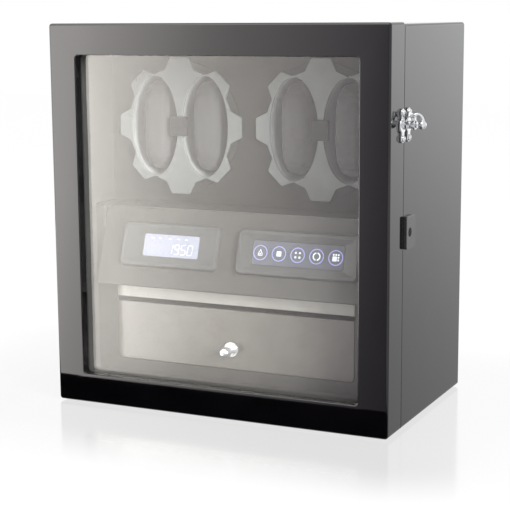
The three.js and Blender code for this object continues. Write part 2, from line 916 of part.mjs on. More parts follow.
function pocket(grow, Kind) {
  return (side) =>
    ellipse(side * pocketOffset, pocketHalfWidth + grow, pocketHalfHeight + grow, pocketSides, Kind);
}

function lobeCorners(angle) {
  const baseHalf = lobeBaseWidth / 2;
  const tipHalf = lobeTipWidth / 2;
  const baseRadius = Math.sqrt(valleyRadius ** 2 - baseHalf ** 2);
  const flat = [
    [baseRadius, -baseHalf, lobeCornerRadius],
    [lobeTipRadius, -tipHalf, lobeCornerRadius],
    [lobeTipRadius, tipHalf, lobeCornerRadius],
    [baseRadius, baseHalf, lobeCornerRadius],
  ];
  const valleyAngle = angle + Math.PI / lobeCount;
  const valley = [
    valleyRadius * Math.cos(valleyAngle),
    valleyRadius * Math.sin(valleyAngle),
    valleyRadius * valleyRoundShare,
  ];
  const turnedCorners = flat.map(([radial, across, radius]) => [
    radial * Math.cos(angle) - across * Math.sin(angle),
    radial * Math.sin(angle) + across * Math.cos(angle),
    radius,
  ]);
  return [...turnedCorners, valley];
}

function faceplate() {
  const corners = Array.from({ length: lobeCount }, (_, i) => lobeCorners((2 * Math.PI * i) / lobeCount));
  const shape = outline(corners.flat());
  shape.holes.push(...[-1, 1].map(pocket(0, THREE.Path)));
  return plate(shape, [plateFront, plateBack]);
}

function cup() {
  const tubes = [-1, 1].map(pocket(cupWall, THREE.Shape)).map((shape) => plate(shape, [cupFront, cupBack]));
  const hollows = [-1, 1].map(pocket(0, THREE.Shape)).map((shape) =>
    plate(shape, [cupFront - overrun, pocketFloor]),
  );
  const bore = barAlongY(axleRadius + seatGap, [axleFront - seatGap, bossBack + overrun]);
  return combine(
    [
      barAlongY(flangeRadius, [cupFront, cupFront + flangeThickness], [0, 0], largeSides),
      ...tubes,
      barAlongY(cupFloorRadius, [pocketFloor, cupBack], [0, 0], largeSides),
      barAlongY(bossRadius, [pocketFloor, bossBack]),
    ],
    [...hollows, bore],
  );
}

function centreCover() {
  const shape = rectangle(mirroredPair(coverWidth / 2), mirroredPair(coverHeight / 2), coverCornerRadius);
  const back = plateFront - seatGap;
  return plate(shape, [back - coverThickness, back], { bevel: coverBevel });
}

// A soft block with a crowned front and back, rounded ends and slightly drawn-in flanks.
function cushion() {
  const rings = Array.from({ length: cushionRings }, (_, i) => {
    const travel = Math.cos((Math.PI * (i + 0.5)) / cushionRings);
    const fullness = (1 - Math.abs(travel) ** cushionDepthShare) ** (1 / cushionDepthShare);
    const depth = cushionFront + (cushionDepth * (1 + travel)) / 2;
    return Array.from({ length: cushionSides }, (_, j) => {
      const angle = (2 * Math.PI * j) / cushionSides;
      const along = Math.sign(Math.sin(angle)) * Math.abs(Math.sin(angle)) ** (2 / cushionOutlineShare);
      const across = Math.sign(Math.cos(angle)) * Math.abs(Math.cos(angle)) ** (2 / cushionOutlineShare);
      const waist = 1 - cushionWaistShare * (1 - along ** 2);
      const end = 1 - cushionEndShare * (1 - across ** 2);
      const x = (cushionWidth / 2) * fullness * across * waist;
      const z = (cushionHeight / 2) * fullness * along * end;
      return new THREE.Vector3(x, depth, z);
    });
  });
  return loft(rings);
}

// Door

function windowRectangle(grow, radius, Kind) {
  const bottomTop = [windowBottom - grow, windowTop + grow];
  return rectangle(mirroredPair(windowSide + grow), bottomTop, radius, Kind);
}

function doorFrame() {
  const shape = rectangle(mirroredPair(sideFace), [footHeight, doorTop], cornerRadius);
  shape.holes.push(windowRectangle(0, windowCornerRadius, THREE.Path));
  const frame = plate(shape, [0, doorDepth + edgeRadius], { bevel: edgeRadius, steps: 3 });
  const backEnd = block(
    mirroredPair(sideFace + overrun),
    [doorDepth, doorDepth + edgeRadius + overrun],
    [footHeight - overrun, doorTop + overrun],
  );
  const rebate = plate(windowRectangle(glassRebate, 0, THREE.Shape), [windowLip, doorDepth + overrun]);
  const camSlot = block(
    [camLeft - camSlotGap, camRight + camSlotGap],
    [lockY - camReach - camSlotGap, doorDepth + overrun],
    [lockHeight - camReach - camSlotGap, lockHeight + camWidth],
  );
  return combine([frame], [backEnd, rebate, camSlot, ...catchScrewHoles(catchDoorY)]);
}

function doorGlass() {
  return plate(windowRectangle(glassRebate - seatGap, 0, THREE.Shape), [glassFront, glassBack]);
}

function glassRetainer() {
  const shape = windowRectangle(glassRebate - seatGap, 0, THREE.Shape);
  shape.holes.push(windowRectangle(retainerSetback, windowCornerRadius, THREE.Path));
  return plate(shape, [retainerFront, retainerFront + retainerDepth]);
}

// Hinges, drawn about the hinge's middle on its axis

function hingeLeaf(side, knuckles) {
  const leafInner = hingeKnuckleRadius + runningGap;
  const height = (hingeKnuckles * hingeKnuckleHeight) / 2 + 2 * seatGap;
  const face = -sideFace - hingeX - seatGap;
  const thickness = [face - hingeLeafThickness, face];
  const reach = [side * leafInner, side * (leafInner + hingeLeafWidth)].sort((a, b) => a - b);
  const leaf = block(thickness, reach, mirroredPair(height));
  const tabs = knuckles.map((span) => block(thickness, [side * leafInner, 0].sort((a, b) => a - b), span));
  const tubes = knuckles.map((span) => barAlongZ(hingeKnuckleRadius, span));
  const bore = barAlongZ(hingePinRadius + seatGap, mirroredPair(height + overrun), [0, 0], smallSides);
  return combine([leaf, ...tabs, ...tubes], [bore]);
}

function cabinetLeaf() {
  const inner = hingeKnuckleHeight / 2 + 2 * seatGap;
  const outer = inner + hingeKnuckleHeight;
  return hingeLeaf(1, [
    [-outer, -inner],
    [inner, outer],
  ]);
}

function doorLeaf() {
  return hingeLeaf(-1, [mirroredPair(hingeKnuckleHeight / 2)]);
}

function hingePin() {
  const half = (hingeKnuckles * hingeKnuckleHeight) / 2 + 2 * seatGap;
  const head = [half + seatGap, half + seatGap + hingeHeadHeight];
  return combine([
    barAlongZ(hingePinRadius, [-half, head[1]], [0, 0], smallSides),
    barAlongZ(hingeHeadRadius, head, [0, 0], smallSides),
  ]);
}

// Catch

function lobedPlate(y) {
  const span = [catchSeat, catchPlateFace];
  const lobes = mirroredPair(catchScrewSpacing / 2);
  const bridge = block(span, [y - catchWaist / 2, y + catchWaist / 2], lobes);
  return [
    barAlongX(catchPlateRadius, span, [y, 0]),
    bridge,
    ...lobes.map((rise) => barAlongX(catchLobeRadius, span, [y, rise], smallSides)),
  ];
}

function lobedPlateHoles(y) {
  return mirroredPair(catchScrewSpacing / 2).map((rise) => {
    const span = [catchSeat - overrun, catchPlateFace + overrun];
    return barAlongX(catchScrewShankRadius + seatGap, span, [y, rise], smallSides);
  });
}

function catchPlateCabinet() {
  const stud = [catchPlateFace - seatGap, catchHeadInner + seatGap];
  return combine(
    [
      ...lobedPlate(0),
      barAlongX(catchWasherRadius, [catchPlateFace - seatGap, catchPlateFace + catchWasherThickness], [0, 0]),
      barAlongX(catchStudRadius, stud, [0, 0], smallSides),
      barAlongX(catchHeadRadius, [catchHeadInner, catchHeadInner + catchHeadThickness], [0, 0], smallSides),
    ],
    lobedPlateHoles(0),
  );
}

function catchPlateDoor() {
  const post = [catchPlateFace - seatGap, leverOuter - seatGap];
  const postPlace = [catchPostY - catchDoorY, catchPostRise];
  const postBar = barAlongX(catchPostRadius, post, postPlace, smallSides);
  return combine([...lobedPlate(0), postBar], lobedPlateHoles(0));
}

// A domed screw along X, with the plate's face at X = 0.
function catchScrew() {
  const dome = arcPoints(1, 0, 0, Math.PI / 2, catchDomeSteps).map(([across, up]) => [
    catchScrewHeadRadius * across,
    seatGap + catchScrewHeadHeight * up,
  ]);
  const tip = -catchScrewLength - catchPlateThickness;
  const profile = [[0, tip], [catchScrewShankRadius, tip], [catchScrewShankRadius, seatGap], ...dome];
  return turned(profile, smallSides).rotateZ(-Math.PI / 2);
}

// The lever about its pivot, drawn hooked over the door's post with its arm towards -Y.
function catchLever() {
  const clawInner = postReach + catchPostRadius + seatGap;
  const clawOuter = clawInner + leverClawWidth;
  const armBottom = catchPostRadius + seatGap;
  const clawTop = armBottom + leverArmWidth;
  const lip = catchPostRadius - leverClawDrop;
  const neckHalf = leverNeckWidth / 2;
  const armHalf = leverArmWidth / 2;
  const corners = [
    [-neckHalf, 0],
    [leverNeckReach - neckHalf, leverNeckRise + armHalf, armHalf],
    [clawOuter, clawTop, armHalf],
    [clawOuter, lip],
    [clawInner, lip],
    [clawInner, armBottom],
    [postReach - catchPostRadius, armBottom],
    [leverNeckReach + neckHalf, leverNeckRise - armHalf],
    [neckHalf, 0],
  ];
  const shape = outline(corners.map(([reach, rise, radius]) => [-reach, rise, radius]));
  const swan = new THREE.CubicBezierCurve3(
    new THREE.Vector3(leverThickness / 2, -leverNeckReach, leverNeckRise - armHalf),
    new THREE.Vector3(leverThickness / 2, -leverNeckReach, leverNeckRise + swanRise),
    new THREE.Vector3(ballReach, -leverNeckReach / 2, leverNeckRise + swanRise),
    new THREE.Vector3(ballReach, 0, ballRadius / 2),
  );
  const section = ellipse(0, swanRadius, swanRadius, swanSides);
  const bore = [-overrun, leverThickness + overrun];
  return combine(
    [
      sidePlate(shape, [0, leverThickness]),
      barAlongX(leverHubRadius, [0, leverThickness], [0, 0]),
      new THREE.ExtrudeGeometry(section, { steps: swanSteps, extrudePath: swan }),
      new THREE.SphereGeometry(ballRadius, smallSides, ballRings).translate(ballReach, 0, 0),
    ],
    [barAlongX(catchStudRadius + seatGap, bore, [0, 0], smallSides)],
  );
}

// Lock

function lockBlock() {
  const half = lockSize / 2;
  const back = lockDepth - lockKeyInset;
  const shape = outline([
    [-lockKeyInset, -half, lockCornerRadius],
    [back, -half, lockCornerRadius],
    [back, half, lockFarCornerRadius],
    [-lockKeyInset, half, lockCornerRadius],
  ]);
  const body = sidePlate(shape, [0, lockThickness], { bevel: lockEdgeBevel });
  return combine([body], [barAlongX(plugRadius + seatGap, [-overrun, lockThickness + overrun], [0, 0])]);
}

function lockBarrel() {
  const plugFace = sideFace + seatGap + lockThickness;
  const bodyFace = sideFace - seatGap;
  const inner = camRight + seatGap;
  const keyhole = block(
    [plugFace - keyholeDepth, plugFace + overrun],
    mirroredPair(keyholeWidth / 2),
    mirroredPair(keyholeHeight / 2),
  );
  return combine(
    [
      barAlongX(barrelRadius, [inner, bodyFace], [0, 0]),
      barAlongX(plugRadius, [bodyFace - seatGap, plugFace], [0, 0]),
    ],
    [keyhole],
  );
}

function lockCam() {
  const half = camWidth / 2;
  const arm = rectangle(mirroredPair(half), [-camReach, 0], half / 2);
  return combine([
    sidePlate(arm, [camLeft, camRight]),
    barAlongX(camHubRadius, [camLeft, camRight], [0, 0]),
  ]);
}

// Drawer

function drawerFront() {
  const shape = outline([
    [-drawerHalfWidth, drawerBottom, drawerCornerRadius],
    [drawerHalfWidth, drawerBottom, drawerCornerRadius],
    [drawerHalfWidth, drawerTop],
    [-drawerHalfWidth, drawerTop],
  ]);
  const board = plate(shape, [surroundFront, drawerBack], { bevel: drawerBevel, steps: 3 });
  const spigotHole = [surroundFront - overrun, drawerBack + overrun];
  const knobPlace = [0, drawerBottom + knobHeight];
  return combine([board], [barAlongY(knobSpigotRadius + seatGap, spigotHole, knobPlace, smallSides)]);
}

function drawerTray() {
  const height = [trayBottom, trayBottom + trayHeight];
  const body = block(mirroredPair(trayHalfWidth), [trayFront, trayBack], height);
  const inside = block(
    mirroredPair(trayHalfWidth - trayWall),
    [trayFront + trayWall, trayBack - trayWall],
    [trayBottom + trayWall, trayBottom + trayHeight + overrun],
  );
  return combine([body], [inside]);
}

function drawerKnob() {
  const flangeBack = surroundFront - seatGap;
  const flangeFront = flangeBack - knobFlangeThickness;
  const stepFront = flangeFront - knobStepThickness;
  const neckFront = stepFront - knobNeckLength;
  const collarFront = neckFront - knobCollarThickness;
  const ballAngle = Math.acos(knobNeckRadius / knobBallRadius);
  const ballCentre = collarFront - knobBallRadius * Math.sin(ballAngle);
  const tipAngle = Math.acos(knobTipRadius / knobBallRadius);
  const tipFront = ballCentre - knobBallRadius * Math.sin(tipAngle) - knobTipLength;
  return turned([
    [0, tipFront],
    [knobTipRadius, tipFront],
    ...arcPoints(knobBallRadius, ballCentre, -tipAngle, ballAngle, knobBallSteps),
    [knobCollarRadius, collarFront],
    [knobCollarRadius, neckFront],
    [knobNeckRadius, neckFront],
    [knobNeckRadius, stepFront],
    [knobStepRadius, stepFront],
    [knobStepRadius, flangeFront],
    [knobFlangeRadius, flangeFront],
    [knobFlangeRadius, flangeBack],
    [knobSpigotRadius, flangeBack],
    [knobSpigotRadius, flangeBack + knobSpigotLength],
    [0, flangeBack + knobSpigotLength],
  ]);
}

// Assembly

const box = new THREE.Group();
const leftReach = hingeX - hingeKnuckleRadius;
const rightReach = ballX + ballRadius;
box.position.set(-(leftReach + rightReach) / 2, -boxDepth / 2, 0);

function addCabinet() {
  place(box, "cabinet_shell", cabinetShell(), blackLacquer());
  place(box, "back_panel", backPanel(), blackBoard());
  place(box, "rotor_panel", rotorPanel(), lining());
  place(box, "chamber_liner", chamberLiner(), lining());
  place(box, "light_bar", lightBar(), greyPlastic());
  place(box, "console_panel", consolePanel(), darkLining());
  place(box, "drawer_surround", drawerSurround(), darkLining());
  place(box, "drawer_top_rail", drawerTopRail(), lining());
  place(box, "drawer_housing", drawerHousing(), blackBoard());
  place(box, "control_board", controlBoard(), greenBoard());
  place(box, "power_jack", powerJack(), darkPlastic(), [jackX, 0, jackZ]);
  const depths = [cabinetFront + footInset, boxDepth - footInset];
  const sides = mirroredPair(sideFace - footInset);
  depths.forEach((y, row) => {
    sides.forEach((x, side) => {
      place(box, `foot_${["front", "back"][row]}_${["left", "right"][side]}`, foot(), rubber(), [x, y, 0]);
    });
  });
}

// The display and the keys lie on the console's face, so their group leans back with it.
function addControls() {
  const face = new THREE.Group();
  face.position.set(0, bezelMiddleFront, bezelMiddleHeight);
  face.rotation.x = -consoleSlope;
  box.add(face);
  const display = bezel(displayBezelWidth, displayWidth, displayHeight, displayShift);
  place(face, "display_bezel", display, darkPlastic(), [displayBezelX, 0, 0]);
  const displayPlace = [displayBezelX + displayShift, 0, 0];
  place(face, "display_screen", screen(displayWidth, displayHeight), litScreen(), displayPlace);
  const touch = bezel(touchBezelWidth, touchWidth, touchHeight, 0);
  place(face, "touch_bezel", touch, darkPlastic(), [touchBezelX, 0, 0]);
  place(face, "touch_panel", screen(touchWidth, touchHeight), glossPlastic(), [touchBezelX, 0, 0]);
}

function addDrive() {
  place(box, "drive_frame", driveFrame(), steel());
  ["left", "right"].forEach((side, i) => {
    const x = mirroredPair(rotorX)[i];
    const motorZ = rotorZ - gearDistance;
    place(box, `bearing_${side}`, bearing(), steel(), [x, 0, rotorZ]);
    place(box, `motor_${side}`, motor(), steel(), [x, 0, motorZ]);
    const spindle = new THREE.Group();
    spindle.position.set(x, 0, motorZ);
    box.add(spindle);
    place(spindle, `pinion_${side}`, pinion(), greyPlastic());
  });
}

function addRotors() {
  ["left", "right"].forEach((side, i) => {
    const rotor = new THREE.Group();
    rotor.position.set(mirroredPair(rotorX)[i], 0, rotorZ);
    box.add(rotor);
    place(rotor, `faceplate_${side}`, faceplate(), silverFace());
    place(rotor, `cup_${side}`, cup(), silverCup());
    place(rotor, `centre_cover_${side}`, centreCover(), darkPlastic());
    place(rotor, `drive_gear_${side}`, driveGear(), greyPlastic());
    mirroredPair(pocketOffset).forEach((x, pocketIndex) => {
      const name = `cushion_${side}_${["outer", "inner"][pocketIndex === i ? 0 : 1]}`;
      place(rotor, name, cushion(), cushionSkin(), [x, 0, 0]);
    });
  });
}

function addDoor() {
  const door = pivotGroup(box, [hingeX, hingeY, 0]);
  place(door, "door_frame", doorFrame(), blackLacquer());
  place(door, "door_glass", doorGlass(), clearGlass());
  place(door, "glass_retainer", glassRetainer(), lining());
  place(door, "catch_plate_door", catchPlateDoor(), chromePlate(), [0, catchDoorY, catchHeight]);
  addCatchScrews(door, "door", catchDoorY);
  ["lower", "upper"].forEach((level, i) => {
    const middle = [hingeX, hingeY, hingeHeights[i]];
    place(door, `hinge_leaf_door_${level}`, doorLeaf(), steel(), middle);
    place(box, `hinge_leaf_cabinet_${level}`, cabinetLeaf(), steel(), middle);
    place(box, `hinge_pin_${level}`, hingePin(), steel(), middle);
  });
}

function addCatchScrews(parent, owner, y) {
  ["lower", "upper"].forEach((level, i) => {
    const z = catchHeight + mirroredPair(catchScrewSpacing / 2)[i];
    place(parent, `catch_screw_${owner}_${level}`, catchScrew(), chromePlate(), [catchPlateFace, y, z]);
  });
}

function addCatchAndLock() {
  place(box, "catch_plate_cabinet", catchPlateCabinet(), chromePlate(), [0, catchPivotY, catchHeight]);
  addCatchScrews(box, "cabinet", catchPivotY);
  const leverPlace = [leverInner, catchPivotY, catchHeight];
  const lever = place(box, "catch_lever", catchLever(), chromePlate(), leverPlace);
  lever.rotation.x = -(postAngle + leverRestLift);
  const lockPlace = [sideFace + seatGap, lockY, lockHeight];
  place(box, "lock_block", lockBlock(), glossPlastic(), lockPlace);
  const key = new THREE.Group();
  key.position.set(0, lockY, lockHeight);
  box.add(key);
  place(key, "lock_barrel", lockBarrel(), steel());
  place(key, "lock_cam", lockCam(), steel());
}

function addDrawer() {
  const drawer = new THREE.Group();
  box.add(drawer);
  place(drawer, "drawer_front", drawerFront(), lining());
  place(drawer, "drawer_tray", drawerTray(), darkLining());
  place(drawer, "drawer_knob", drawerKnob(), chromePlate(), [0, 0, drawerBottom + knobHeight]);
}

addCabinet();
addControls();
addDrive();
addRotors();
addDoor();
addCatchAndLock();
addDrawer();

const winder = new THREE.Group();
winder.name = "watch_winder_box";
winder.add(box);

export default winder;
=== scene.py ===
import json
import math

import bmesh
import bpy
from mathutils import Matrix, Vector
from mathutils.bvhtree import BVHTree
from mathutils.geometry import tessellate_polygon

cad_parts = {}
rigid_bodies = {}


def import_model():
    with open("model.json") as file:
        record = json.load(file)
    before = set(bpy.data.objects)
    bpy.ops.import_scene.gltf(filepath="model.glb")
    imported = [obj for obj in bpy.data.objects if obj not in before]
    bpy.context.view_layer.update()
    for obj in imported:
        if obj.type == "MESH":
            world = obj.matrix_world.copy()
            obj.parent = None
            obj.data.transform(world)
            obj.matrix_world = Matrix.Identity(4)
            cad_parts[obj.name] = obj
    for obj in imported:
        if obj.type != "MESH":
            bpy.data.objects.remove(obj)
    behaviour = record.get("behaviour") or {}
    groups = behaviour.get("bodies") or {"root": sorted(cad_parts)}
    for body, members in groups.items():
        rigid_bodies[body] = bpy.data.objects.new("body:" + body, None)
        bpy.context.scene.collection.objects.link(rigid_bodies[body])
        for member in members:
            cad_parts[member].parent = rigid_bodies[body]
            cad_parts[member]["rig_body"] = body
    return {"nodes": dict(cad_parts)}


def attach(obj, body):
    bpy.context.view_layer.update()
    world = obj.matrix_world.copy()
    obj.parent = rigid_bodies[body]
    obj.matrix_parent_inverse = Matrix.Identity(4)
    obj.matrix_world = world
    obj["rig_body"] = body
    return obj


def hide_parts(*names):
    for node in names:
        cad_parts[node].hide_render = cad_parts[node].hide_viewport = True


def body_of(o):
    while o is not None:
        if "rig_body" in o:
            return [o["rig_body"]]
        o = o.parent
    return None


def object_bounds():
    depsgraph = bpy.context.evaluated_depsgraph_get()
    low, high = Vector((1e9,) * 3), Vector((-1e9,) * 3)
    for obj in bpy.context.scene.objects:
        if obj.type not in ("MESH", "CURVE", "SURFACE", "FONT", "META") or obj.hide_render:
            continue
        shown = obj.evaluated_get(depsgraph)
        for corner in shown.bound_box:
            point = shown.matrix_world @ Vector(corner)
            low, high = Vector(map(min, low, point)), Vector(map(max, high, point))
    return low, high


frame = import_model()
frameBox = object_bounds()
cadNodes = frame["nodes"]

# Lengths below are in millimetres, from the door's face (y), the middle of the box (x) and the table (z).
mm = 0.001
boxShift = Vector((-5.6, -107.5, 0))
acrossX = Vector((1, 0, 0))
acrossY = Vector((0, 1, 0))
upward = Vector((0, 0, 1))


def spot(point):
    return (Vector(point) + boxShift) * mm


# A drawing plane: u to the right and v up as the face is looked at, w out of it.
def drawnOn(middle, right, up):
    middle = Vector(middle)
    out = right.cross(up)
    return lambda u, v, w: spot(middle + right * u + up * v + out * w)


def onFront(x=0, y=0, z=0):
    return drawnOn((x, y, z), acrossX, upward)


def onBack(x=0, y=0, z=0):
    return drawnOn((x, y, z), -acrossX, upward)


def onRight(x=0, y=0, z=0):
    return drawnOn((x, y, z), acrossY, upward)


def onLeft(x=0, y=0, z=0):
    return drawnOn((x, y, z), -acrossY, upward)


def spread(start, end, count):
    return [start + (end - start) * i / (count - 1) for i in range(count)]


def quarterRound(radius, steps):  # what a rounded edge falls short of its corner, across and along
    turns = spread(0, math.pi / 2, steps + 1) if radius else [0]
    return [(radius * (1 - math.cos(t)), radius * (1 - math.sin(t))) for t in turns]


# Helpers for the nodes of a finish. An input takes a value or the output of another node.


def fillInputs(tree, node, inputs):
    for key, value in inputs.items():
        if isinstance(value, bpy.types.NodeSocket):
            tree.links.new(value, node.inputs[key])
        else:
            node.inputs[key].default_value = value


def newFinish(name):
    finish = bpy.data.materials.new(name)
    finish.use_nodes = True
    return finish, finish.node_tree, finish.node_tree.nodes["Principled BSDF"]


def addNode(tree, kind, inputs=None, **settings):
    node = tree.nodes.new(kind)
    for key, value in settings.items():
        setattr(node, key, value)
    fillInputs(tree, node, inputs or {})
    return node


def showSurface(tree, surface):
    fillInputs(tree, tree.nodes["Material Output"], {"Surface": surface})


def mixed(tree, amount, first, second):
    return addNode(tree, "ShaderNodeMixShader", {0: amount, 1: first, 2: second}).outputs["Shader"]


def chained(tree, operation, first, second=0.0):
    return addNode(tree, "ShaderNodeMath", {0: first, 1: second}, operation=operation).outputs[0]


def oneOf(tree, *rays):  # 1 for the kinds of ray named
    path = addNode(tree, "ShaderNodeLightPath")
    found = path.outputs[rays[0]]
    for ray in rays[1:]:
        found = chained(tree, "MAXIMUM", found, path.outputs[ray])
    return found


def metreSpace(tree, stretch=(1, 1, 1)):
    place = addNode(tree, "ShaderNodeTexCoord").outputs["Object"]
    return addNode(tree, "ShaderNodeMapping", {"Vector": place, "Scale": stretch}).outputs["Vector"]


def splitPlace(tree):  # x, y and z in metres
    split = addNode(tree, "ShaderNodeSeparateXYZ", {"Vector": metreSpace(tree)})
    return [split.outputs[axis] for axis in "XYZ"]


def grain(tree, size, detail=3, rough=0.55, stretch=(1, 1, 1)):  # size of one grain in mm
    inputs = {"Vector": metreSpace(tree, stretch), "Scale": 1 / (size * mm)}
    inputs.update({"Detail": detail, "Roughness": rough})
    return addNode(tree, "ShaderNodeTexNoise", inputs).outputs["Fac"]


def pebbles(tree, size, smooth=0.4):
    inputs = {"Vector": metreSpace(tree), "Scale": 1 / (size * mm), "Smoothness": smooth}
    return addNode(tree, "ShaderNodeTexVoronoi", inputs, feature="SMOOTH_F1").outputs["Distance"]


def between(tree, value, low, high, fromLow=0.3, fromHigh=0.7, **settings):
    inputs = {"Value": value, "From Min": fromLow, "From Max": fromHigh, "To Min": low, "To Max": high}
    return addNode(tree, "ShaderNodeMapRange", inputs, **settings).outputs["Result"]


def shades(tree, value, *colours, places=(0.3, 0.7)):
    ramp = addNode(tree, "ShaderNodeValToRGB", {"Fac": value})
    elements = ramp.color_ramp.elements
    while len(elements) < len(colours):
        elements.new(0.5)
    for element, place, colour in zip(elements, places, colours):
        element.position = place
        element.color = (*colour, 1)
    return ramp.outputs["Color"]


def bumped(tree, shader, height, strength, depth):  # depth in mm
    bump = addNode(tree, "ShaderNodeBump", {"Height": height, "Strength": strength, "Distance": depth * mm})
    fillInputs(tree, shader, {"Normal": bump.outputs["Normal"]})


# The finishes.


def lacquerFinish():
    finish, tree, shader = newFinish("blackPianoLacquer")
    colour = shades(tree, grain(tree, 35, 4), (0.0012, 0.0010, 0.0014), (0.0024, 0.0020, 0.0027))
    haze = between(tree, grain(tree, 6, 5, 0.65), 0.025, 0.06)
    fillInputs(tree, shader, {"Base Color": colour, "Roughness": haze, "IOR": 1.5})
    bumped(tree, shader, grain(tree, 9, 1), 0.05, 0.02)
    return finish


def boardFinish():
    finish, tree, shader = newFinish("paintedBoard")
    colour = shades(tree, grain(tree, 18, 5), (0.016, 0.015, 0.016), (0.030, 0.029, 0.030))
    tooth = grain(tree, 0.7, 4, 0.7)
    fillInputs(tree, shader, {"Base Color": colour, "Roughness": between(tree, tooth, 0.5, 0.75)})
    bumped(tree, shader, tooth, 0.35, 0.12)
    return finish


def leatheretteFinish(name, dark, light, rough, gloss=0.3):
    finish, tree, shader = newFinish(name)
    colour = shades(tree, grain(tree, 26, 4), dark, light)
    pores = pebbles(tree, 0.75)
    sheen = between(tree, pores, rough - 0.012, rough + 0.016, 0.1, 0.6)
    fillInputs(tree, shader, {"Base Color": colour, "Roughness": sheen, "Specular IOR Level": gloss})
    bumped(tree, shader, pores, 0.012, 0.006)
    return finish


# For lamps and scattered light the pane is a plain filter, so that what stands behind it is lit.
def glassFinish():
    finish, tree, shader = newFinish("clearPane")
    inputs = {"Transmission Weight": 1.0, "IOR": 1.54, "Base Color": (0.965, 0.98, 0.975, 1)}
    inputs["Specular Tint"] = (1.0, 0.985, 0.94, 1)
    inputs["Roughness"] = between(tree, grain(tree, 40, 4), 0.0, 0.012)
    fillInputs(tree, shader, inputs)
    through = addNode(tree, "ShaderNodeBsdfTransparent", {"Color": (0.9, 0.92, 0.915, 1)})
    lamplight = oneOf(tree, "Is Shadow Ray", "Is Diffuse Ray")
    showSurface(tree, mixed(tree, lamplight, shader.outputs["BSDF"], through.outputs["BSDF"]))
    return finish


def metalFinish(name, dark, light, rough, metallic=1.0, scratch=0.04, stretch=(1, 1, 1), size=0.5, gloss=0.5):
    finish, tree, shader = newFinish(name)
    colour = shades(tree, grain(tree, 14, 3), dark, light)
    streak = grain(tree, size, 4, 0.6, stretch)
    polish = between(tree, streak, rough * 0.75, rough * 1.35)
    inputs = {"Base Color": colour, "Roughness": polish, "Metallic": metallic, "Specular IOR Level": gloss}
    fillInputs(tree, shader, inputs)
    bumped(tree, shader, streak, scratch, 0.05)
    return finish


def suedeFinish():
    finish, tree, shader = newFinish("cushionSuede")
    colour = shades(tree, grain(tree, 5, 6, 0.7), (0.160, 0.150, 0.150), (0.215, 0.204, 0.204))
    pile = grain(tree, 0.45, 4, 0.7)
    inputs = {"Base Color": colour, "Roughness": between(tree, pile, 0.80, 0.88), "Specular IOR Level": 0.1}
    fillInputs(tree, shader, {**inputs, "Sheen Weight": 0.3, "Sheen Roughness": 0.5})
    bumped(tree, shader, pile, 0.03, 0.015)
    return finish


def plasticFinish(name, dark, light, rough, size=0.35, relief=0.2, gloss=0.5):
    finish, tree, shader = newFinish(name)
    colour = shades(tree, grain(tree, 20, 3), dark, light)
    texture = grain(tree, size, 3, 0.6)
    matt = between(tree, texture, rough * 0.8, rough * 1.2)
    fillInputs(tree, shader, {"Base Color": colour, "Roughness": matt, "Specular IOR Level": gloss})
    bumped(tree, shader, texture, relief, 0.04)
    return finish


def boardGreenFinish():
    finish, tree, shader = newFinish("circuitGreen")
    inputs = {"Vector": metreSpace(tree), "Scale": 1.0, "Mortar Size": 0.0003, "Brick Width": 0.006}
    inputs["Row Height"] = 0.0019
    for key, colour in (("Color1", (0.010, 0.085, 0.035)), ("Color2", (0.014, 0.110, 0.045))):
        inputs[key] = (*colour, 1)
    inputs["Mortar"] = (0.030, 0.170, 0.080, 1)
    tracks = addNode(tree, "ShaderNodeTexBrick", inputs)
    matt = between(tree, grain(tree, 1.2, 3), 0.3, 0.5)
    fillInputs(tree, shader, {"Base Color": tracks.outputs["Color"], "Roughness": matt})
    return finish


def litFinish(name, dark, light, strength, size, unlit=0.2):
    finish, tree, shader = newFinish(name)
    speckle = grain(tree, size, 2)
    inputs = {"Emission Color": shades(tree, speckle, dark, light), "Emission Strength": strength}
    inputs["Base Color"] = shades(tree, speckle, (unlit * 0.9,) * 3, (unlit,) * 3)
    inputs["Roughness"] = between(tree, grain(tree, 3, 3), 0.12, 0.25)
    fillInputs(tree, shader, inputs)
    return finish


lacquer = lacquerFinish()
paintedBoard = boardFinish()
paneGlass = glassFinish()
suede = suedeFinish()
circuitGreen = boardGreenFinish()

# A darker and a lighter colour come first, then how rough the surface is, then what else it needs.
drawerLeatherette = leatheretteFinish(
    "drawerLeatherette", (0.16, 0.142, 0.116), (0.20, 0.18, 0.15), 0.12, 0.9
)
# The rail's leatherette is painted far lighter than the drawer's: a painted highlight for the rail's top,
# which faces up into the light.
railPaintedHighlight = leatheretteFinish("railPaintedHighlight", (0.52, 0.48, 0.425), (0.60, 0.56, 0.50), 0.12, 1.0)
consoleLeatherette = leatheretteFinish("consoleLeatherette", (0.11, 0.101, 0.093), (0.135, 0.125, 0.115), 0.4)
chamberLeatherette = leatheretteFinish(
    "chamberLeatherette", (0.075, 0.071, 0.068), (0.10, 0.095, 0.09), 0.5, 0.1
)

satinSilver = metalFinish("satinSilver", (0.36, 0.36, 0.355), (0.41, 0.41, 0.405), 0.4, 0.0, 0.02, gloss=0.08)
brightSilver = metalFinish("brightSilver", (0.72, 0.72, 0.73), (0.80, 0.80, 0.81), 0.32, 0.2, 0.02)
chromePlate = metalFinish("chromePlate", (0.62, 0.63, 0.65), (0.74, 0.75, 0.76), 0.05, 1.0, 0.01)
knobChrome = metalFinish("knobChrome", (0.90, 0.90, 0.90), (0.96, 0.96, 0.96), 0.16, 0.8, 0.01)
plainSteel = metalFinish("plainSteel", (0.42, 0.42, 0.44), (0.56, 0.56, 0.57), 0.3, 1.0, 0.08, (1, 1, 12))
keySteel = metalFinish(
    "blackenedSteel", (0.006, 0.006, 0.007), (0.012, 0.012, 0.013), 0.5, 0.0, 0.06, (1, 1, 6), gloss=0.08
)

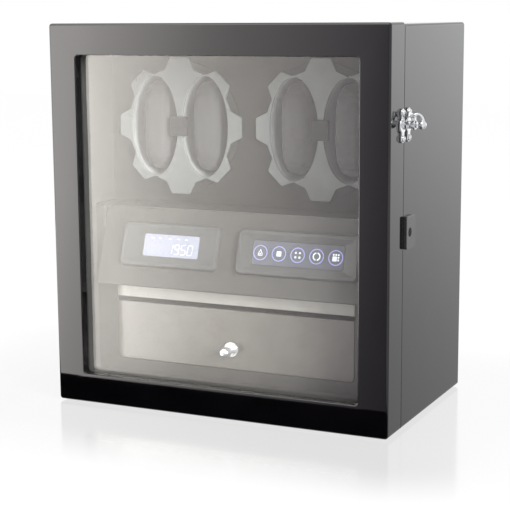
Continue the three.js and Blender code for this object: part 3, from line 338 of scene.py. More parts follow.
darkPlastic = plasticFinish("darkSatinPlastic", (0.030, 0.028, 0.031), (0.042, 0.039, 0.043), 0.35, gloss=0.2)
bezelPlastic = plasticFinish(
    "bezelSatinGrey", (0.115, 0.112, 0.108), (0.14, 0.136, 0.131), 0.36, 0.3, 0.05, 0.4
)
glossPanel = plasticFinish("polishedBlack", (0.008, 0.008, 0.010), (0.016, 0.016, 0.018), 0.07, 4, 0.02)
mouldedGrey = plasticFinish("mouldedGrey", (0.55, 0.54, 0.51), (0.66, 0.65, 0.62), 0.45)
threadGrey = plasticFinish("cushionThread", (0.070, 0.066, 0.073), (0.10, 0.096, 0.104), 0.8, 0.2, 0.3)
softRubber = plasticFinish("softRubber", (0.012, 0.012, 0.012), (0.024, 0.024, 0.024), 0.8, 0.3, 0.4)
touchGlass = plasticFinish("touchGlass", (0.120, 0.126, 0.165), (0.160, 0.168, 0.215), 0.09, 9, 0.02)

litPane = litFinish("litPane", (0.47, 0.50, 0.76), (0.58, 0.61, 0.86), 0.54, 14)
litDigit = litFinish("litDigit", (0.84, 0.87, 1.0), (0.94, 0.96, 1.0), 1.0, 6)
litRing = litFinish("litRing", (0.34, 0.36, 0.95), (0.46, 0.47, 1.0), 0.8, 5)
print("finishes ready:", len(bpy.data.materials))


# Outlines are drawn anticlockwise in u and v.

leastCorner = 0.25  # the smallest radius of a frame's corner, in mm
nearlyStraight = math.pi - 0.01
mostOfSide = 0.49  # the share of a side that one corner may take
sharpestCorner = 0.2  # keeps an inset point from running away


def spun(u, v, turn):
    return u * math.cos(turn) - v * math.sin(turn), u * math.sin(turn) + v * math.cos(turn)


def cornered(corners, closed=True, steps=6):  # corners are (u, v, radius)
    points = []
    count = len(corners)
    for index, (u, v, radius) in enumerate(corners):
        here = Vector((u, v))
        atEnd = not closed and index in (0, count - 1)
        if radius <= 0 or atEnd:
            points.append((u, v))
            continue
        before = Vector(corners[index - 1][:2]) - here
        after = Vector(corners[(index + 1) % count][:2]) - here
        turn = before.angle(after)
        if turn > nearlyStraight:
            points.append((u, v))
            continue
        reach = min(radius / math.tan(turn / 2), before.length * mostOfSide, after.length * mostOfSide)
        start = here + before.normalized() * reach
        end = here + after.normalized() * reach
        centre = here + (before.normalized() + after.normalized()).normalized() * (reach / math.cos(turn / 2))
        first = start - centre
        sweep = first.angle_signed(end - centre)
        for step in range(steps + 1):
            points.append(tuple(centre + Vector(spun(*first, -sweep * step / steps))))
    return points


def oblong(left, right, bottom, top, radius, steps=6):
    radii = radius if isinstance(radius, (list, tuple)) else [radius] * 4
    corners = [(left, bottom), (right, bottom), (right, top), (left, top)]
    return cornered([(u, v, r) for (u, v), r in zip(corners, radii)], steps=steps)


def centred(halfWidth, halfHeight, radius, steps=6, u=0, v=0):
    return oblong(u - halfWidth, u + halfWidth, v - halfHeight, v + halfHeight, radius, steps)


def oval(centreU, centreV, halfWidth, halfHeight, count=72):
    turns = [2 * math.pi * i / count for i in range(count)]
    return [(centreU + halfWidth * math.cos(t), centreV + halfHeight * math.sin(t)) for t in turns]


def circle(radius, count=72, u=0, v=0):
    return oval(u, v, radius, radius, count)


def insetLoop(points, amount):
    moved = []
    count = len(points)
    for index in range(count):
        here = Vector(points[index])
        before = (here - Vector(points[index - 1])).normalized()
        after = (Vector(points[(index + 1) % count]) - here).normalized()
        normalIn = Vector((-before.y, before.x))
        normalOut = Vector((-after.y, after.x))
        shared = 1 + normalIn.dot(normalOut)
        moved.append(tuple(here + (normalIn + normalOut) * (amount / max(shared, sharpestCorner))))
    return moved


# Helpers that make meshes from outlines, and pieces from meshes.

crease = math.radians(34)  # a sharper turn than this stays an edge
flat = math.radians(1)
onePoint = 1e-7  # in metres, closer points become one
onePacked = 2e-6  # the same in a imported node


def addRing(mesh, points):
    return [mesh.verts.new(point) for point in points]


def joinRings(mesh, first, second):
    count = len(first)
    for i in range(count):
        j = (i + 1) % count
        mesh.faces.new((first[i], first[j], second[j], second[i]))


def joinAll(mesh, rings):
    for one, other in zip(rings, rings[1:]):
        joinRings(mesh, one, other)


def capLoops(mesh, loops):
    flat = [vertex for loop in loops for vertex in loop]
    for a, b, c in tessellate_polygon([[vertex.co for vertex in loop] for loop in loops]):
        if len({a, b, c}) == 3:
            mesh.faces.new((flat[a], flat[b], flat[c]))


def roundedRun(low, high, frontEdge, backEdge, steps):  # (inset, height) from the back to the front
    run = [(inset, low + rise) for rise, inset in quarterRound(backEdge, steps)]
    return run + [(inset, high - drop) for inset, drop in quarterRound(frontEdge, steps)]


# A plate with holes: the first outline is its edge, the others are cut out of it.
def addPlate(mesh, outlines, low, high, lay, frontEdge=0.4, backEdge=0.0, steps=3):
    run = roundedRun(low, high, frontEdge, backEdge, steps)
    loops = [outlines[0]] + [hole[::-1] for hole in outlines[1:]]
    backs, fronts = [], []
    for loop in loops:
        rings = []
        for inset, height in run:
            rings.append(addRing(mesh, [lay(u, v, height) for u, v in insetLoop(loop, inset)]))
        joinAll(mesh, rings)
        backs.append(rings[0])
        fronts.append(rings[-1])
    capLoops(mesh, backs)
    capLoops(mesh, fronts)


# A ring of sections that closes on itself, such as a frame.
def addFrame(mesh, sections, lay):
    rings = [addRing(mesh, [lay(u, v, height) for u, v in loop]) for loop, height in sections]
    joinAll(mesh, rings + rings[:1])


# A turned piece: the profile is (radius, w), from the back to the front.
def addTurned(mesh, profile, lay, count=48, centre=(0, 0)):
    rings = []
    for radius, height in profile:
        if radius < 1e-6:
            rings.append([mesh.verts.new(lay(centre[0], centre[1], height))])
        else:
            rings.append(addRing(mesh, [lay(u, v, height) for u, v in circle(radius, count, *centre)]))
    for one, other in zip(rings, rings[1:]):
        if len(one) > 1 and len(other) > 1:
            joinRings(mesh, one, other)
        else:
            (pole,), loop = (one, other) if len(one) == 1 else (other, one)
            for i in range(len(loop)):
                mesh.faces.new((pole, loop[i - 1], loop[i]))


def softProfile(corners):  # corners are (radius, w, rounding)
    return cornered(corners, closed=False, steps=4)


def addTube(mesh, path, radii, count=20):  # path in metres, radii in mm
    rings = []
    side = None
    for index, point in enumerate(path):
        ahead = path[min(index + 1, len(path) - 1)] - path[max(index - 1, 0)]
        ahead.normalize()
        side = ahead.orthogonal() if side is None else (side - ahead * side.dot(ahead))
        side.normalize()
        other = ahead.cross(side)
        radius = radii[index] * mm
        rings.append(addRing(mesh, [point + side * u + other * v for u, v in circle(radius, count)]))
    joinAll(mesh, rings)
    for end in (rings[0], rings[-1]):
        mesh.faces.new(end)


def asData(name, mesh):
    data = bpy.data.meshes.new(name)
    mesh.to_mesh(data)
    mesh.free()
    return data


def inScene(name, data):
    thing = bpy.data.objects.new(name, data)
    bpy.context.collection.objects.link(thing)
    return thing


def asPiece(name, mesh, finish, stands=(), body=None):
    bmesh.ops.remove_doubles(mesh, verts=mesh.verts, dist=onePoint)
    bmesh.ops.recalc_face_normals(mesh, faces=mesh.faces)
    return dressed(name, asData(name, mesh), finish, stands, body)


def dressed(name, data, finish, stands=(), body=None, sharp=crease):
    data.shade_smooth()
    data.set_sharp_from_angle(angle=sharp)
    data.materials.clear()
    data.materials.append(finish)
    piece = inScene(name, data)
    weighted = piece.modifiers.new("evenNormals", "WEIGHTED_NORMAL")
    weighted.keep_sharp = True
    if stands:
        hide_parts(*stands)
    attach(piece, body or body_of(cadNodes[stands[0]])[0])
    return piece


def cutAway(piece, mesh):
    bmesh.ops.recalc_face_normals(mesh, faces=mesh.faces)
    cutter = inScene("cutter", asData("cutter", mesh))
    boolean = piece.modifiers.new("cut", "BOOLEAN")
    boolean.operation = "DIFFERENCE"
    boolean.solver = "EXACT"
    boolean.object = cutter
    piece.modifiers.move(len(piece.modifiers) - 1, 0)
    graph = bpy.context.evaluated_depsgraph_get()
    held = [m for m in piece.modifiers if m.name != "cut"]
    for modifier in held:
        modifier.show_viewport = False
    graph.update()
    data = bpy.data.meshes.new_from_object(piece.evaluated_get(graph))
    piece.modifiers.remove(boolean)
    for modifier in held:
        modifier.show_viewport = True
    data.set_sharp_from_angle(angle=crease)
    piece.data = data
    bpy.data.objects.remove(cutter)


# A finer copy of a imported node: flat faces made whole again, edges broken.
def refined(node, finish, edge=0.4):
    mesh = bmesh.new()
    mesh.from_mesh(cadNodes[node].data)
    bmesh.ops.remove_doubles(mesh, verts=mesh.verts, dist=onePacked)
    bmesh.ops.dissolve_limit(mesh, angle_limit=flat, verts=mesh.verts, edges=mesh.edges)
    name = node + "_fine"
    piece = dressed(name, asData(name, mesh), finish, (node,))
    if edge:
        bevel = piece.modifiers.new("brokenEdges", "BEVEL")
        bevel.width = edge * mm
        bevel.segments = 2
        bevel.limit_method = "ANGLE"
        bevel.angle_limit = crease
        bevel.use_clamp_overlap = True
        piece.modifiers.move(1, 0)


def keepNode(node, finish):
    kept = cadNodes[node]
    if not kept.material_slots:
        kept.data.materials.append(finish)
    for slot in kept.material_slots:
        slot.material = finish


# The camera comes first, so that the view holds while the pieces are made.

view = dict(
    place=(0.5870, -1.2656, 0.3833),
    yaw=25.35,
    pitch=9.76,  # down
    roll=-0.40,
    lens=99.39,
    sensor=36,
)


def addCamera():
    yaw, pitch, roll = (math.radians(view[key]) for key in ("yaw", "pitch", "roll"))
    forward = Vector((-math.sin(yaw) * math.cos(pitch), math.cos(yaw) * math.cos(pitch), -math.sin(pitch)))
    right = Vector((math.cos(yaw), math.sin(yaw), 0))
    up = right.cross(forward)
    rolledRight = right * math.cos(roll) + up * math.sin(roll)
    rolledUp = up * math.cos(roll) - right * math.sin(roll)
    turn = Matrix((rolledRight, rolledUp, -forward)).transposed().to_4x4()
    data = bpy.data.cameras.new("studioCamera")
    data.lens = view["lens"]
    data.sensor_width = view["sensor"]
    data.sensor_fit = "HORIZONTAL"
    camera = inScene("studioCamera", data)
    camera.matrix_world = Matrix.Translation(view["place"]) @ turn
    bpy.context.scene.camera = camera


addCamera()
print("camera placed")


door = dict(
    side=175, bottom=1.5, top=374.5, depth=36, corner=3.2, frontEdge=2.4, backEdge=0.4,
    window=(145.5, 30.5, 344.5, 4), windowEdge=1.3,  # half its width, its bottom, its top and its corners
    lip=9.7, lipEdge=0.2, rebate=(150, 26, 349, 1.5),
    slotX=(154, 159), slotY=(22.5, 40), slotZ=(162.7, 193.7), slotCorner=1,
)


def frameRect(side, bottom, top, corner, grow=0.0):
    radius = max(corner + grow, leastCorner)
    return oblong(-side - grow, side + grow, bottom - grow, top + grow, radius, 8)


def makeDoor():
    def outer(grow):
        return frameRect(door["side"], door["bottom"], door["top"], door["corner"], grow)

    def window(grow):
        return frameRect(*door["window"], grow)

    def rebate(grow):
        return frameRect(*door["rebate"], grow)

    front, back, rim = door["frontEdge"], door["backEdge"], door["windowEdge"]
    sections = [(outer(-back), -door["depth"]), (outer(0), back - door["depth"])]
    sections += [(outer(-inset), -drop) for inset, drop in quarterRound(front, 6)]
    sections += [(window(inset), -drop) for drop, inset in quarterRound(rim, 4)]
    lip, lipEdge, deep = door["lip"], door["lipEdge"], door["depth"]
    sections += [(window(0), lipEdge - lip), (window(lipEdge), -lip), (rebate(0), -lip)]
    sections += [(rebate(0), back - deep), (rebate(back), -deep)]
    mesh = bmesh.new()
    addFrame(mesh, sections, onFront())
    piece = asPiece("doorFrame_lacquered", mesh, lacquer, ("door_frame",))
    slot = bmesh.new()
    outline = oblong(*door["slotX"], *door["slotZ"], door["slotCorner"])
    addPlate(slot, [outline], -door["slotY"][1], -door["slotY"][0], onFront(), 0, 0)
    cutAway(piece, slot)
    keepNode("door_glass", paneGlass)
    refined("glass_retainer", chamberLeatherette, 0.3)


makeDoor()
print("door made")


cabinet = dict(
    side=175, bottom=1.5, top=373, front=36.6, back=215, corner=3.2, edge=2.4, frontEdge=0.5,
    innerSide=160, innerBottom=16.5, innerTop=358, rebate=5, rebateFloor=208.7, rebateEdge=0.3,
    barrelY=45.5, barrelZ=185.7, barrelHole=6.3, holeRun=(-3, 18),  # from the inner side outwards
)

backPanel = dict(
    front=209, back=213, gap=0.3, corner=0.6, edge=0.5, frontEdge=0.3,
    jackX=110, jackZ=132, jackHole=5.8, screwInset=9, screwRadius=3.1,
    screwPlaces=((-1, -1), (0, -1), (1, -1), (-1, 0), (1, 0), (-1, 1), (0, 1), (1, 1)),
)


def makeCabinet():
    side, bottom, top = cabinet["innerSide"], cabinet["innerBottom"], cabinet["innerTop"]
    inner, out = (side, bottom, top, leastCorner), cabinet["rebate"]
    rebate = (side + out, bottom - out, top + out, leastCorner)
    outer = (cabinet["side"], cabinet["bottom"], cabinet["top"], cabinet["corner"])
    front, back, edge, nick = cabinet["front"], cabinet["back"], cabinet["edge"], cabinet["frontEdge"]
    sections = [(frameRect(*inner, nick), -front), (frameRect(*inner), -front - nick)]
    sections += [(frameRect(*inner), -cabinet["rebateFloor"]), (frameRect(*rebate), -cabinet["rebateFloor"])]
    rim = cabinet["rebateEdge"]
    sections += [(frameRect(*rebate), rim - back), (frameRect(*rebate, rim), -back)]
    sections += [(frameRect(*outer, -inset), rise - back) for rise, inset in quarterRound(edge, 6)]
    sections += [(frameRect(*outer, -inset), -front - drop) for inset, drop in quarterRound(nick, 3)]
    mesh = bmesh.new()
    addFrame(mesh, sections, onFront())
    piece = asPiece("cabinet_lacquered", mesh, lacquer, ("cabinet_shell",))
    hole = bmesh.new()
    lay = onRight(cabinet["innerSide"], cabinet["barrelY"], cabinet["barrelZ"])
    radius, (low, high) = cabinet["barrelHole"], cabinet["holeRun"]
    addTurned(hole, [(0, low), (radius, low), (radius, high), (0, high)], lay, 40)
    cutAway(piece, hole)


def countersunk(mesh, lay, u, v, radius, depth=1.2, crown=0.15):
    profile = softProfile([(0, -depth, 0), (radius, -depth, 0), (radius, 0, 0.3), (0, crown, 0)])
    addTurned(mesh, profile, lay, 28, (u, v))


def makeBackPanel():
    gap = backPanel["gap"]
    side = cabinet["innerSide"] + cabinet["rebate"] - gap
    bottom = cabinet["innerBottom"] - cabinet["rebate"] + gap
    top = cabinet["innerTop"] + cabinet["rebate"] - gap
    outline = oblong(-side, side, bottom, top, backPanel["corner"])
    hole = circle(backPanel["jackHole"], 40, -backPanel["jackX"], backPanel["jackZ"])
    mesh = bmesh.new()
    deep = backPanel["front"], backPanel["back"]
    addPlate(mesh, [outline, hole], *deep, onBack(), backPanel["edge"], backPanel["frontEdge"])
    asPiece("backPanel_painted", mesh, paintedBoard, ("back_panel",))
    screws = bmesh.new()
    inset = backPanel["screwInset"]
    for across, rise in backPanel["screwPlaces"]:
        u = across * (side - inset)
        v = (bottom + top) / 2 + rise * ((top - bottom) / 2 - inset)
        countersunk(screws, onBack(0, backPanel["back"], 0), u, v, backPanel["screwRadius"])
    asPiece("backPanel_screws", screws, plainSteel, body="cabinet")
    refined("power_jack", darkPlastic, 0.25)


makeCabinet()
makeBackPanel()
for foot in ("foot_front_left", "foot_front_right", "foot_back_left", "foot_back_right"):
    refined(foot, softRubber, 0.3)
for lining in ("chamber_liner", "rotor_panel"):
    refined(lining, chamberLeatherette, 0.5)
refined("console_panel", consoleLeatherette, 0.5)
refined("light_bar", mouldedGrey, 0.3)
print("cabinet made")


# The drawer and what frames it.

drawer = dict(
    halfWidth=127.7, bottom=40.5, top=99.5, front=40, thickness=6, corner=5, edge=0.8, backEdge=0.3,
    knobZ=60.5,
)

knob = dict(
    back=39.7, flange=7.5, flangeDepth=2, step=5.6, stepDepth=1.8, neck=3.1, neckLength=4.4,
    collar=4.6, collarDepth=1.4, ball=5.9, tip=2.0, tipLength=1.2, spigot=2.4, spigotLength=5,
)


def makeKnob():
    step = knob["flangeDepth"]
    neck = step + knob["stepDepth"]
    collar = neck + knob["neckLength"]
    ballBack = collar + knob["collarDepth"]
    backTurn = math.acos(knob["neck"] / knob["ball"])
    centre = ballBack + knob["ball"] * math.sin(backTurn)
    frontTurn = math.acos(knob["tip"] / knob["ball"])
    tipFront = centre + knob["ball"] * math.sin(frontTurn) + knob["tipLength"]
    profile = softProfile(
        [
            (0, -knob["spigotLength"], 0),
            (knob["spigot"], -knob["spigotLength"], 0.3),
            (knob["spigot"], 0, 0),
            (knob["flange"], 0, 0.2),
            (knob["flange"], step, 0.8),
            (knob["step"], step, 0.2),
            (knob["step"], neck, 0.7),
            (knob["neck"], neck, 0.7),
            (knob["neck"], collar, 0.5),
            (knob["collar"], collar, 0.35),
            (knob["collar"], ballBack, 0.35),
        ]
    )
    for turn in spread(-backTurn, frontTurn, 15):
        profile.append((knob["ball"] * math.cos(turn), centre + knob["ball"] * math.sin(turn)))
    tip = [(knob["tip"], tipFront - knob["tipLength"], 0), (knob["tip"], tipFront, 0.5), (0, tipFront, 0)]
    profile += softProfile(tip)[1:]
    mesh = bmesh.new()
    addTurned(mesh, profile, onFront(0, knob["back"], drawer["knobZ"]), 64)
    asPiece("drawerKnob_turned", mesh, knobChrome, ("drawer_knob",))


def makeDrawer():
    corner = drawer["corner"]
    side = drawer["halfWidth"]
    radii = (corner, corner, drawer["edge"], drawer["edge"])  # round below, nearly square above
    outline = oblong(-side, side, drawer["bottom"], drawer["top"], radii)
    mesh = bmesh.new()
    back = drawer["front"] + drawer["thickness"]
    addPlate(mesh, [outline], -back, -drawer["front"], onFront(), drawer["edge"], drawer["backEdge"], 4)
    asPiece("drawerFront_covered", mesh, drawerLeatherette, ("drawer_front",))
    refined("drawer_tray", consoleLeatherette, 0.5)
    refined("drawer_surround", consoleLeatherette, 0.4)
    # painted highlight: the rail's lighter leatherette stands in for the light on its top
    refined("drawer_top_rail", railPaintedHighlight, 0.6)
    refined("drawer_housing", paintedBoard, 0.4)
    makeKnob()


makeDrawer()
print("drawer made")


# The console has two bezels, a display and touch keys.

console = dict(
    slope=18.2, bottomY=21.8, bottomZ=118.5, middleZ=158.9, height=44.5, raised=4, corner=5, taper=1.2,
    rim=4, dish=2, dishCorner=2.5, gap=0.3, softEdge=0.8, flank=0.75, mouthEdge=0.3,
    windowEdge=0.3, windowRise=0.1, windowDrop=0.2,  # the rise and the drop are from the dish's floor
)

bezels = dict(
    display=dict(x=-63.25, width=106.5, window=(61, 22.5), shift=1.7),
    touch=dict(x=73, width=126, window=(94, 24), shift=0),
)

digits = dict(
    text="1950", height=9.6, width=5.0, stroke=0.8, gap=0.3, pitch=7.3, slant=0.1, proud=0.12, x=6, z=-3.2,
    marks=((-21, 7), (-13, 7), (-2, 7), (7, 7), (16, 7)), markSize=(3.0, 0.9), markCorner=0.4,
)

keys = dict(radius=7.3, line=0.85, pitch=19.2, proud=0.12)


def consoleFace(x):
    slope = math.radians(console["slope"])
    middleY = console["bottomY"] + (console["middleZ"] - console["bottomZ"]) * math.tan(slope)
    up = Vector((0, math.sin(slope), math.cos(slope)))
    return drawnOn((x, middleY, console["middleZ"]), acrossX, up)


def makeBezel(name):
    bezel = bezels[name]
    halfWidth, halfHeight = bezel["width"] / 2, console["height"] / 2
    top = console["gap"] + console["raised"]
    floor = top - console["dish"]
    rim = console["taper"] + console["rim"]
    windowWidth, windowHeight = bezel["window"]

    def outer(inset):
        return centred(halfWidth - inset, halfHeight - inset, console["corner"], 8)

    def mouth(inset):
        return centred(halfWidth - rim - inset, halfHeight - rim - inset, console["dishCorner"], 8)

    def window(inset):
        half = windowWidth / 2 - inset, windowHeight / 2 - inset
        return centred(*half, console["dishCorner"], 8, bezel["shift"])

    soft = console["softEdge"]
    sections = [(outer(0), console["gap"]), (outer(console["taper"] * console["flank"]), top - soft)]
    sections += [(outer(console["taper"] + inset), top - drop) for inset, drop in quarterRound(soft, 4)[1:]]
    sections += [(mouth(-inset), top - drop) for drop, inset in quarterRound(console["mouthEdge"], 3)]
    sections.append((window(-console["windowEdge"]), floor + console["windowRise"]))
    sections += [(window(0), floor - console["windowDrop"]), (window(0), console["gap"])]
    mesh = bmesh.new()
    addFrame(mesh, sections, consoleFace(bezel["x"]))
    asPiece(name + "Bezel_moulded", mesh, bezelPlastic, (name + "_bezel",))


# Which of the seven strokes light up for each digit.
strokesOf = {
    "0": "abcdef", "1": "bc", "2": "abged", "3": "abgcd", "4": "fgbc",
    "5": "afgcd", "6": "afgedc", "7": "abc", "8": "abcdefg", "9": "abcdfg",
}


def strokeOutline(stroke):
    width, height, thick, gap = (digits[key] for key in ("width", "height", "stroke", "gap"))
    half = height / 2
    runs = {
        "a": ((gap, height), (width - gap, height)), "d": ((gap, 0), (width - gap, 0)),
        "g": ((gap, half), (width - gap, half)), "f": ((0, half + gap), (0, height - gap)),
        "b": ((width, half + gap), (width, height - gap)), "e": ((0, gap), (0, half - gap)),
        "c": ((width, gap), (width, half - gap)),
    }
    (u1, v1), (u2, v2) = runs[stroke]
    t = thick / 2
    if v1 == v2:
        return [(u1, v1), (u1 + t, v1 - t), (u2 - t, v1 - t), (u2, v1), (u2 - t, v1 + t), (u1 + t, v1 + t)]
    return [(u1, v1), (u1 + t, v1 + t), (u1 + t, v2 - t), (u1, v2), (u1 - t, v2 - t), (u1 - t, v1 + t)]


def makeDigits():
    lay = consoleFace(bezels["display"]["x"] + bezels["display"]["shift"])
    face = console["raised"] - console["dish"]
    mesh = bmesh.new()
    total = digits["pitch"] * (len(digits["text"]) - 1) + digits["width"]
    cursor = digits["x"] - total / 2 + digits["pitch"] / 2
    base = digits["z"] - digits["height"] / 2
    for letter in digits["text"]:
        for stroke in strokesOf[letter]:
            leaned = [(cursor + u + v * digits["slant"], base + v) for u, v in strokeOutline(stroke)]
            addPlate(mesh, [leaned], face, face + digits["proud"], lay, 0)
        cursor += digits["pitch"]
    markWidth, markHeight = digits["markSize"]
    for u, v in digits["marks"]:
        mark = centred(markWidth / 2, markHeight / 2, digits["markCorner"], 3, u, v)
        addPlate(mesh, [mark], face, face + digits["proud"], lay, 0)
    asPiece("display_digits", mesh, litDigit, body="cabinet")


def ringArc(radius, line, start, end, count=36):
    turns = spread(start, end, count)
    outer = [(radius * math.cos(t), radius * math.sin(t)) for t in turns]
    return outer + [((radius - line) * math.cos(t), (radius - line) * math.sin(t)) for t in turns[::-1]]


# A flame, a square, four dots, two arcs that turn, and a large tile with small ones.
sign = dict(
    flame=((-2.2, -2.9), (2.2, -2.9), (2.5, -1.3), (1.2, 1.6), (0, 3.7), (-1.2, 1.6), (-2.5, -1.3)),
    flameLine=0.75, ember=0.8, emberDrop=1.0, square=2.5, dot=1.15, dotReach=2.1,
    arc=4.0, arcLine=1.3, arcHalf=80, corner=0.6, tile=(-3.3, 1.2, -3.3, 1.4),
    smallTile=0.85, smallPlaces=((-2.3, 2.9), (0.2, 2.9), (2.7, 2.9), (2.7, 0.4), (2.7, -2.1)),
)


def arcAt(middle):  # in degrees
    ends = [math.radians(middle + side * sign["arcHalf"]) for side in (-1, 1)]
    return ringArc(sign["arc"], sign["arcLine"], *ends)


def keyMarks():  # for each ring, the outlines of the plates inside it
    flame, reach, square, small = sign["flame"], sign["dotReach"], sign["square"], sign["smallTile"]
    ember = circle(sign["ember"], 20, 0, -sign["emberDrop"])
    smallTiles = [[centred(small, small, sign["corner"] / 2, 6, u, v)] for u, v in sign["smallPlaces"]]
    return [
        [[flame, insetLoop(flame, sign["flameLine"])], [ember]],
        [[centred(square, square, sign["corner"])]],
        [[circle(sign["dot"], 24, u, v)] for u in (-reach, reach) for v in (-reach, reach)],
        [[arcAt(180)], [arcAt(0)]],
        [[oblong(*sign["tile"], sign["corner"])]] + smallTiles,
    ]


def makeKeys():
    lay = consoleFace(bezels["touch"]["x"])
    face = console["raised"] - console["dish"]
    rings, marks = bmesh.new(), bmesh.new()
    radius = keys["radius"]
    allMarks = keyMarks()
    for index, mark in enumerate(allMarks):
        centre = (index - (len(allMarks) - 1) / 2) * keys["pitch"]
        ring = [circle(radius, u=centre), circle(radius - keys["line"], u=centre)]
        addPlate(rings, ring, face, face + keys["proud"], lay, 0)
        for outlines in mark:
            moved = [[(u + centre, v) for u, v in loop] for loop in outlines]
            addPlate(marks, moved, face, face + keys["proud"], lay, 0)
    asPiece("touchRings_lit", rings, litRing, body="cabinet")
    asPiece("touchMarks_lit", marks, litDigit, body="cabinet")


for name in bezels:
    makeBezel(name)
keepNode("display_screen", litPane)
keepNode("touch_panel", touchGlass)
makeDigits()
makeKeys()
print("console made")


rotor = dict(
    places=(("left", -76), ("right", 76)), z=272.5,
    plateFront=81, plateBack=84, lobes=8, tipRadius=68, tipWidth=20, baseWidth=32, valley=58, lobeCorner=2.5,
    valleyRound=0.25, edge=0.45, backEdge=0.2, pocketOffset=28, pocketHalf=(25.5, 50),
    flange=65, cupFront=84.3, flangeDepth=1.7, flangeEdge=0.3, wall=1.5, rimOuter=0.2, rimInner=0.1,
    pocketFloor=130.3, floorRadius=61.2, floorEdge=0.4, boss=11, bossBack=146.5, bossEdge=0.6, bossRoot=0.8,
    coverWidth=18.5, coverHeight=19.5, coverFront=78.2, coverBack=80.7, coverCorner=1.5, coverEdge=0.6,
)


def lobedOutline():
    corners = []
    valley, tip, corner = rotor["valley"], rotor["tipRadius"], rotor["lobeCorner"]
    baseHalf, tipHalf = rotor["baseWidth"] / 2, rotor["tipWidth"] / 2
    base = math.sqrt(valley ** 2 - baseHalf ** 2)
    for index in range(rotor["lobes"]):
        angle = 2 * math.pi * index / rotor["lobes"]
        for out, across in ((base, -baseHalf), (tip, -tipHalf), (tip, tipHalf), (base, baseHalf)):
            corners.append((*spun(out, across, angle), corner))
        corners.append((*spun(valley, 0, angle + math.pi / rotor["lobes"]), valley * rotor["valleyRound"]))
    return cornered(corners, steps=5)


def pocketOval(side, grow=0.0):
    halfWidth, halfHeight = rotor["pocketHalf"]
    return oval(side * rotor["pocketOffset"], 0, halfWidth + grow, halfHeight + grow, 96)


def makeRotor(name, x):
    lay = onFront(x, 0, rotor["z"])
    body = "rotor_" + name
    mesh = bmesh.new()
    outlines = [lobedOutline(), pocketOval(-1), pocketOval(1)]
    deep = -rotor["plateBack"], -rotor["plateFront"]
    addPlate(mesh, outlines, *deep, lay, rotor["edge"], rotor["backEdge"])
    asPiece(f"faceplate_{name}_lobed", mesh, satinSilver, ("faceplate_" + name,))

    mesh = bmesh.new()
    front, wall = rotor["cupFront"], rotor["wall"]
    flange = [circle(rotor["flange"], 128), pocketOval(-1, wall), pocketOval(1, wall)]
    edge = rotor["flangeEdge"]
    addPlate(mesh, flange, -front - rotor["flangeDepth"], -front, lay, edge, edge)
    asPiece(f"cupCollar_{name}_moulded", mesh, chamberLeatherette, body=body)

    mesh = bmesh.new()
    floor, floorRadius = rotor["pocketFloor"], rotor["floorRadius"]
    boss, bossBack = rotor["boss"], rotor["bossBack"]
    back, edge = -floor - wall, rotor["floorEdge"]
    for side in (-1, 1):
        outer, inner = pocketOval(side, wall), pocketOval(side)
        tube = [(outer, back), (outer, -front - rotor["rimOuter"])]
        tube += [(inner, -front - rotor["rimInner"]), (inner, back)]
        addFrame(mesh, tube, lay)
    profile = softProfile(
        [
            (0, -bossBack, 0), (boss, -bossBack, rotor["bossEdge"]), (boss, back, rotor["bossRoot"]),
            (floorRadius, back, edge), (floorRadius, -floor, edge), (0, -floor, 0),
        ]
    )
    addTurned(mesh, profile, lay, 128)
    asPiece(f"cup_{name}_smooth", mesh, brightSilver, ("cup_" + name,))

    mesh = bmesh.new()
    outline = centred(rotor["coverWidth"] / 2, rotor["coverHeight"] / 2, rotor["coverCorner"])
    deep = -rotor["coverBack"], -rotor["coverFront"]
    addPlate(mesh, [outline], *deep, lay, rotor["coverEdge"], rotor["backEdge"], 4)
    asPiece(f"centreCover_{name}_moulded", mesh, darkPlastic, ("centre_cover_" + name,))


for name, x in rotor["places"]:
    makeRotor(name, x)
print("rotors made")


cushion = dict(
    width=36, height=95.5, front=76, back=130, outline=3.0, depth=3.5, waist=0.03, end=0.02,
    shrink=1.6, voxel=4.0, pressure=4.0, stiffness=20, bending=2, quality=6, steps=20, cap=5.0,
    around=96, rings=28, slack=0.995,
    seam=34.5, seamWidth=1.5, seamDepth=0.9,
    stitchRow=2.2, stitch=2.0, stitchPitch=3.0, stitchMargin=3, thread=(0.16, 0.24, 0.16), threadLift=0.1,
    places=(("left_outer", -104), ("left_inner", -48), ("right_inner", 48), ("right_outer", 104)),
)


def powered(value, power):
    return math.copysign(abs(value) ** power, value)


def cushionMesh(shrink):
    mesh = bmesh.new()
    halfWidth = cushion["width"] / 2 - shrink
    halfHeight = cushion["height"] / 2 - shrink
    front, back = cushion["front"] + shrink, cushion["back"] - shrink
    rings = []
    for i in range(cushion["rings"]):
        travel = math.cos(math.pi * (i + 0.5) / cushion["rings"])
        full = (1 - abs(travel) ** cushion["depth"]) ** (1 / cushion["depth"])
        y = (front + back) / 2 + (back - front) / 2 * travel
        ring = []
        for j in range(cushion["around"]):
            turn = 2 * math.pi * j / cushion["around"]
            along = powered(math.sin(turn), 2 / cushion["outline"])
            across = powered(math.cos(turn), 2 / cushion["outline"])
            waist = 1 - cushion["waist"] * (1 - along ** 2)
            end = 1 - cushion["end"] * (1 - across ** 2)
            x, rise = halfWidth * full * across * waist, halfHeight * full * along * end
            ring.append(spot((x, y, rotor["z"] + rise)))
        rings.append(addRing(mesh, ring))
    joinAll(mesh, rings)
    for end in (rings[0], rings[-1]):
        mesh.faces.new(end)
    bmesh.ops.recalc_face_normals(mesh, faces=mesh.faces)
    return asData("cushion", mesh)


def applied(piece):
    graph = bpy.context.evaluated_depsgraph_get()
    graph.update()
    data = bpy.data.meshes.new_from_object(piece.evaluated_get(graph))
    piece.modifiers.clear()
    piece.data = data


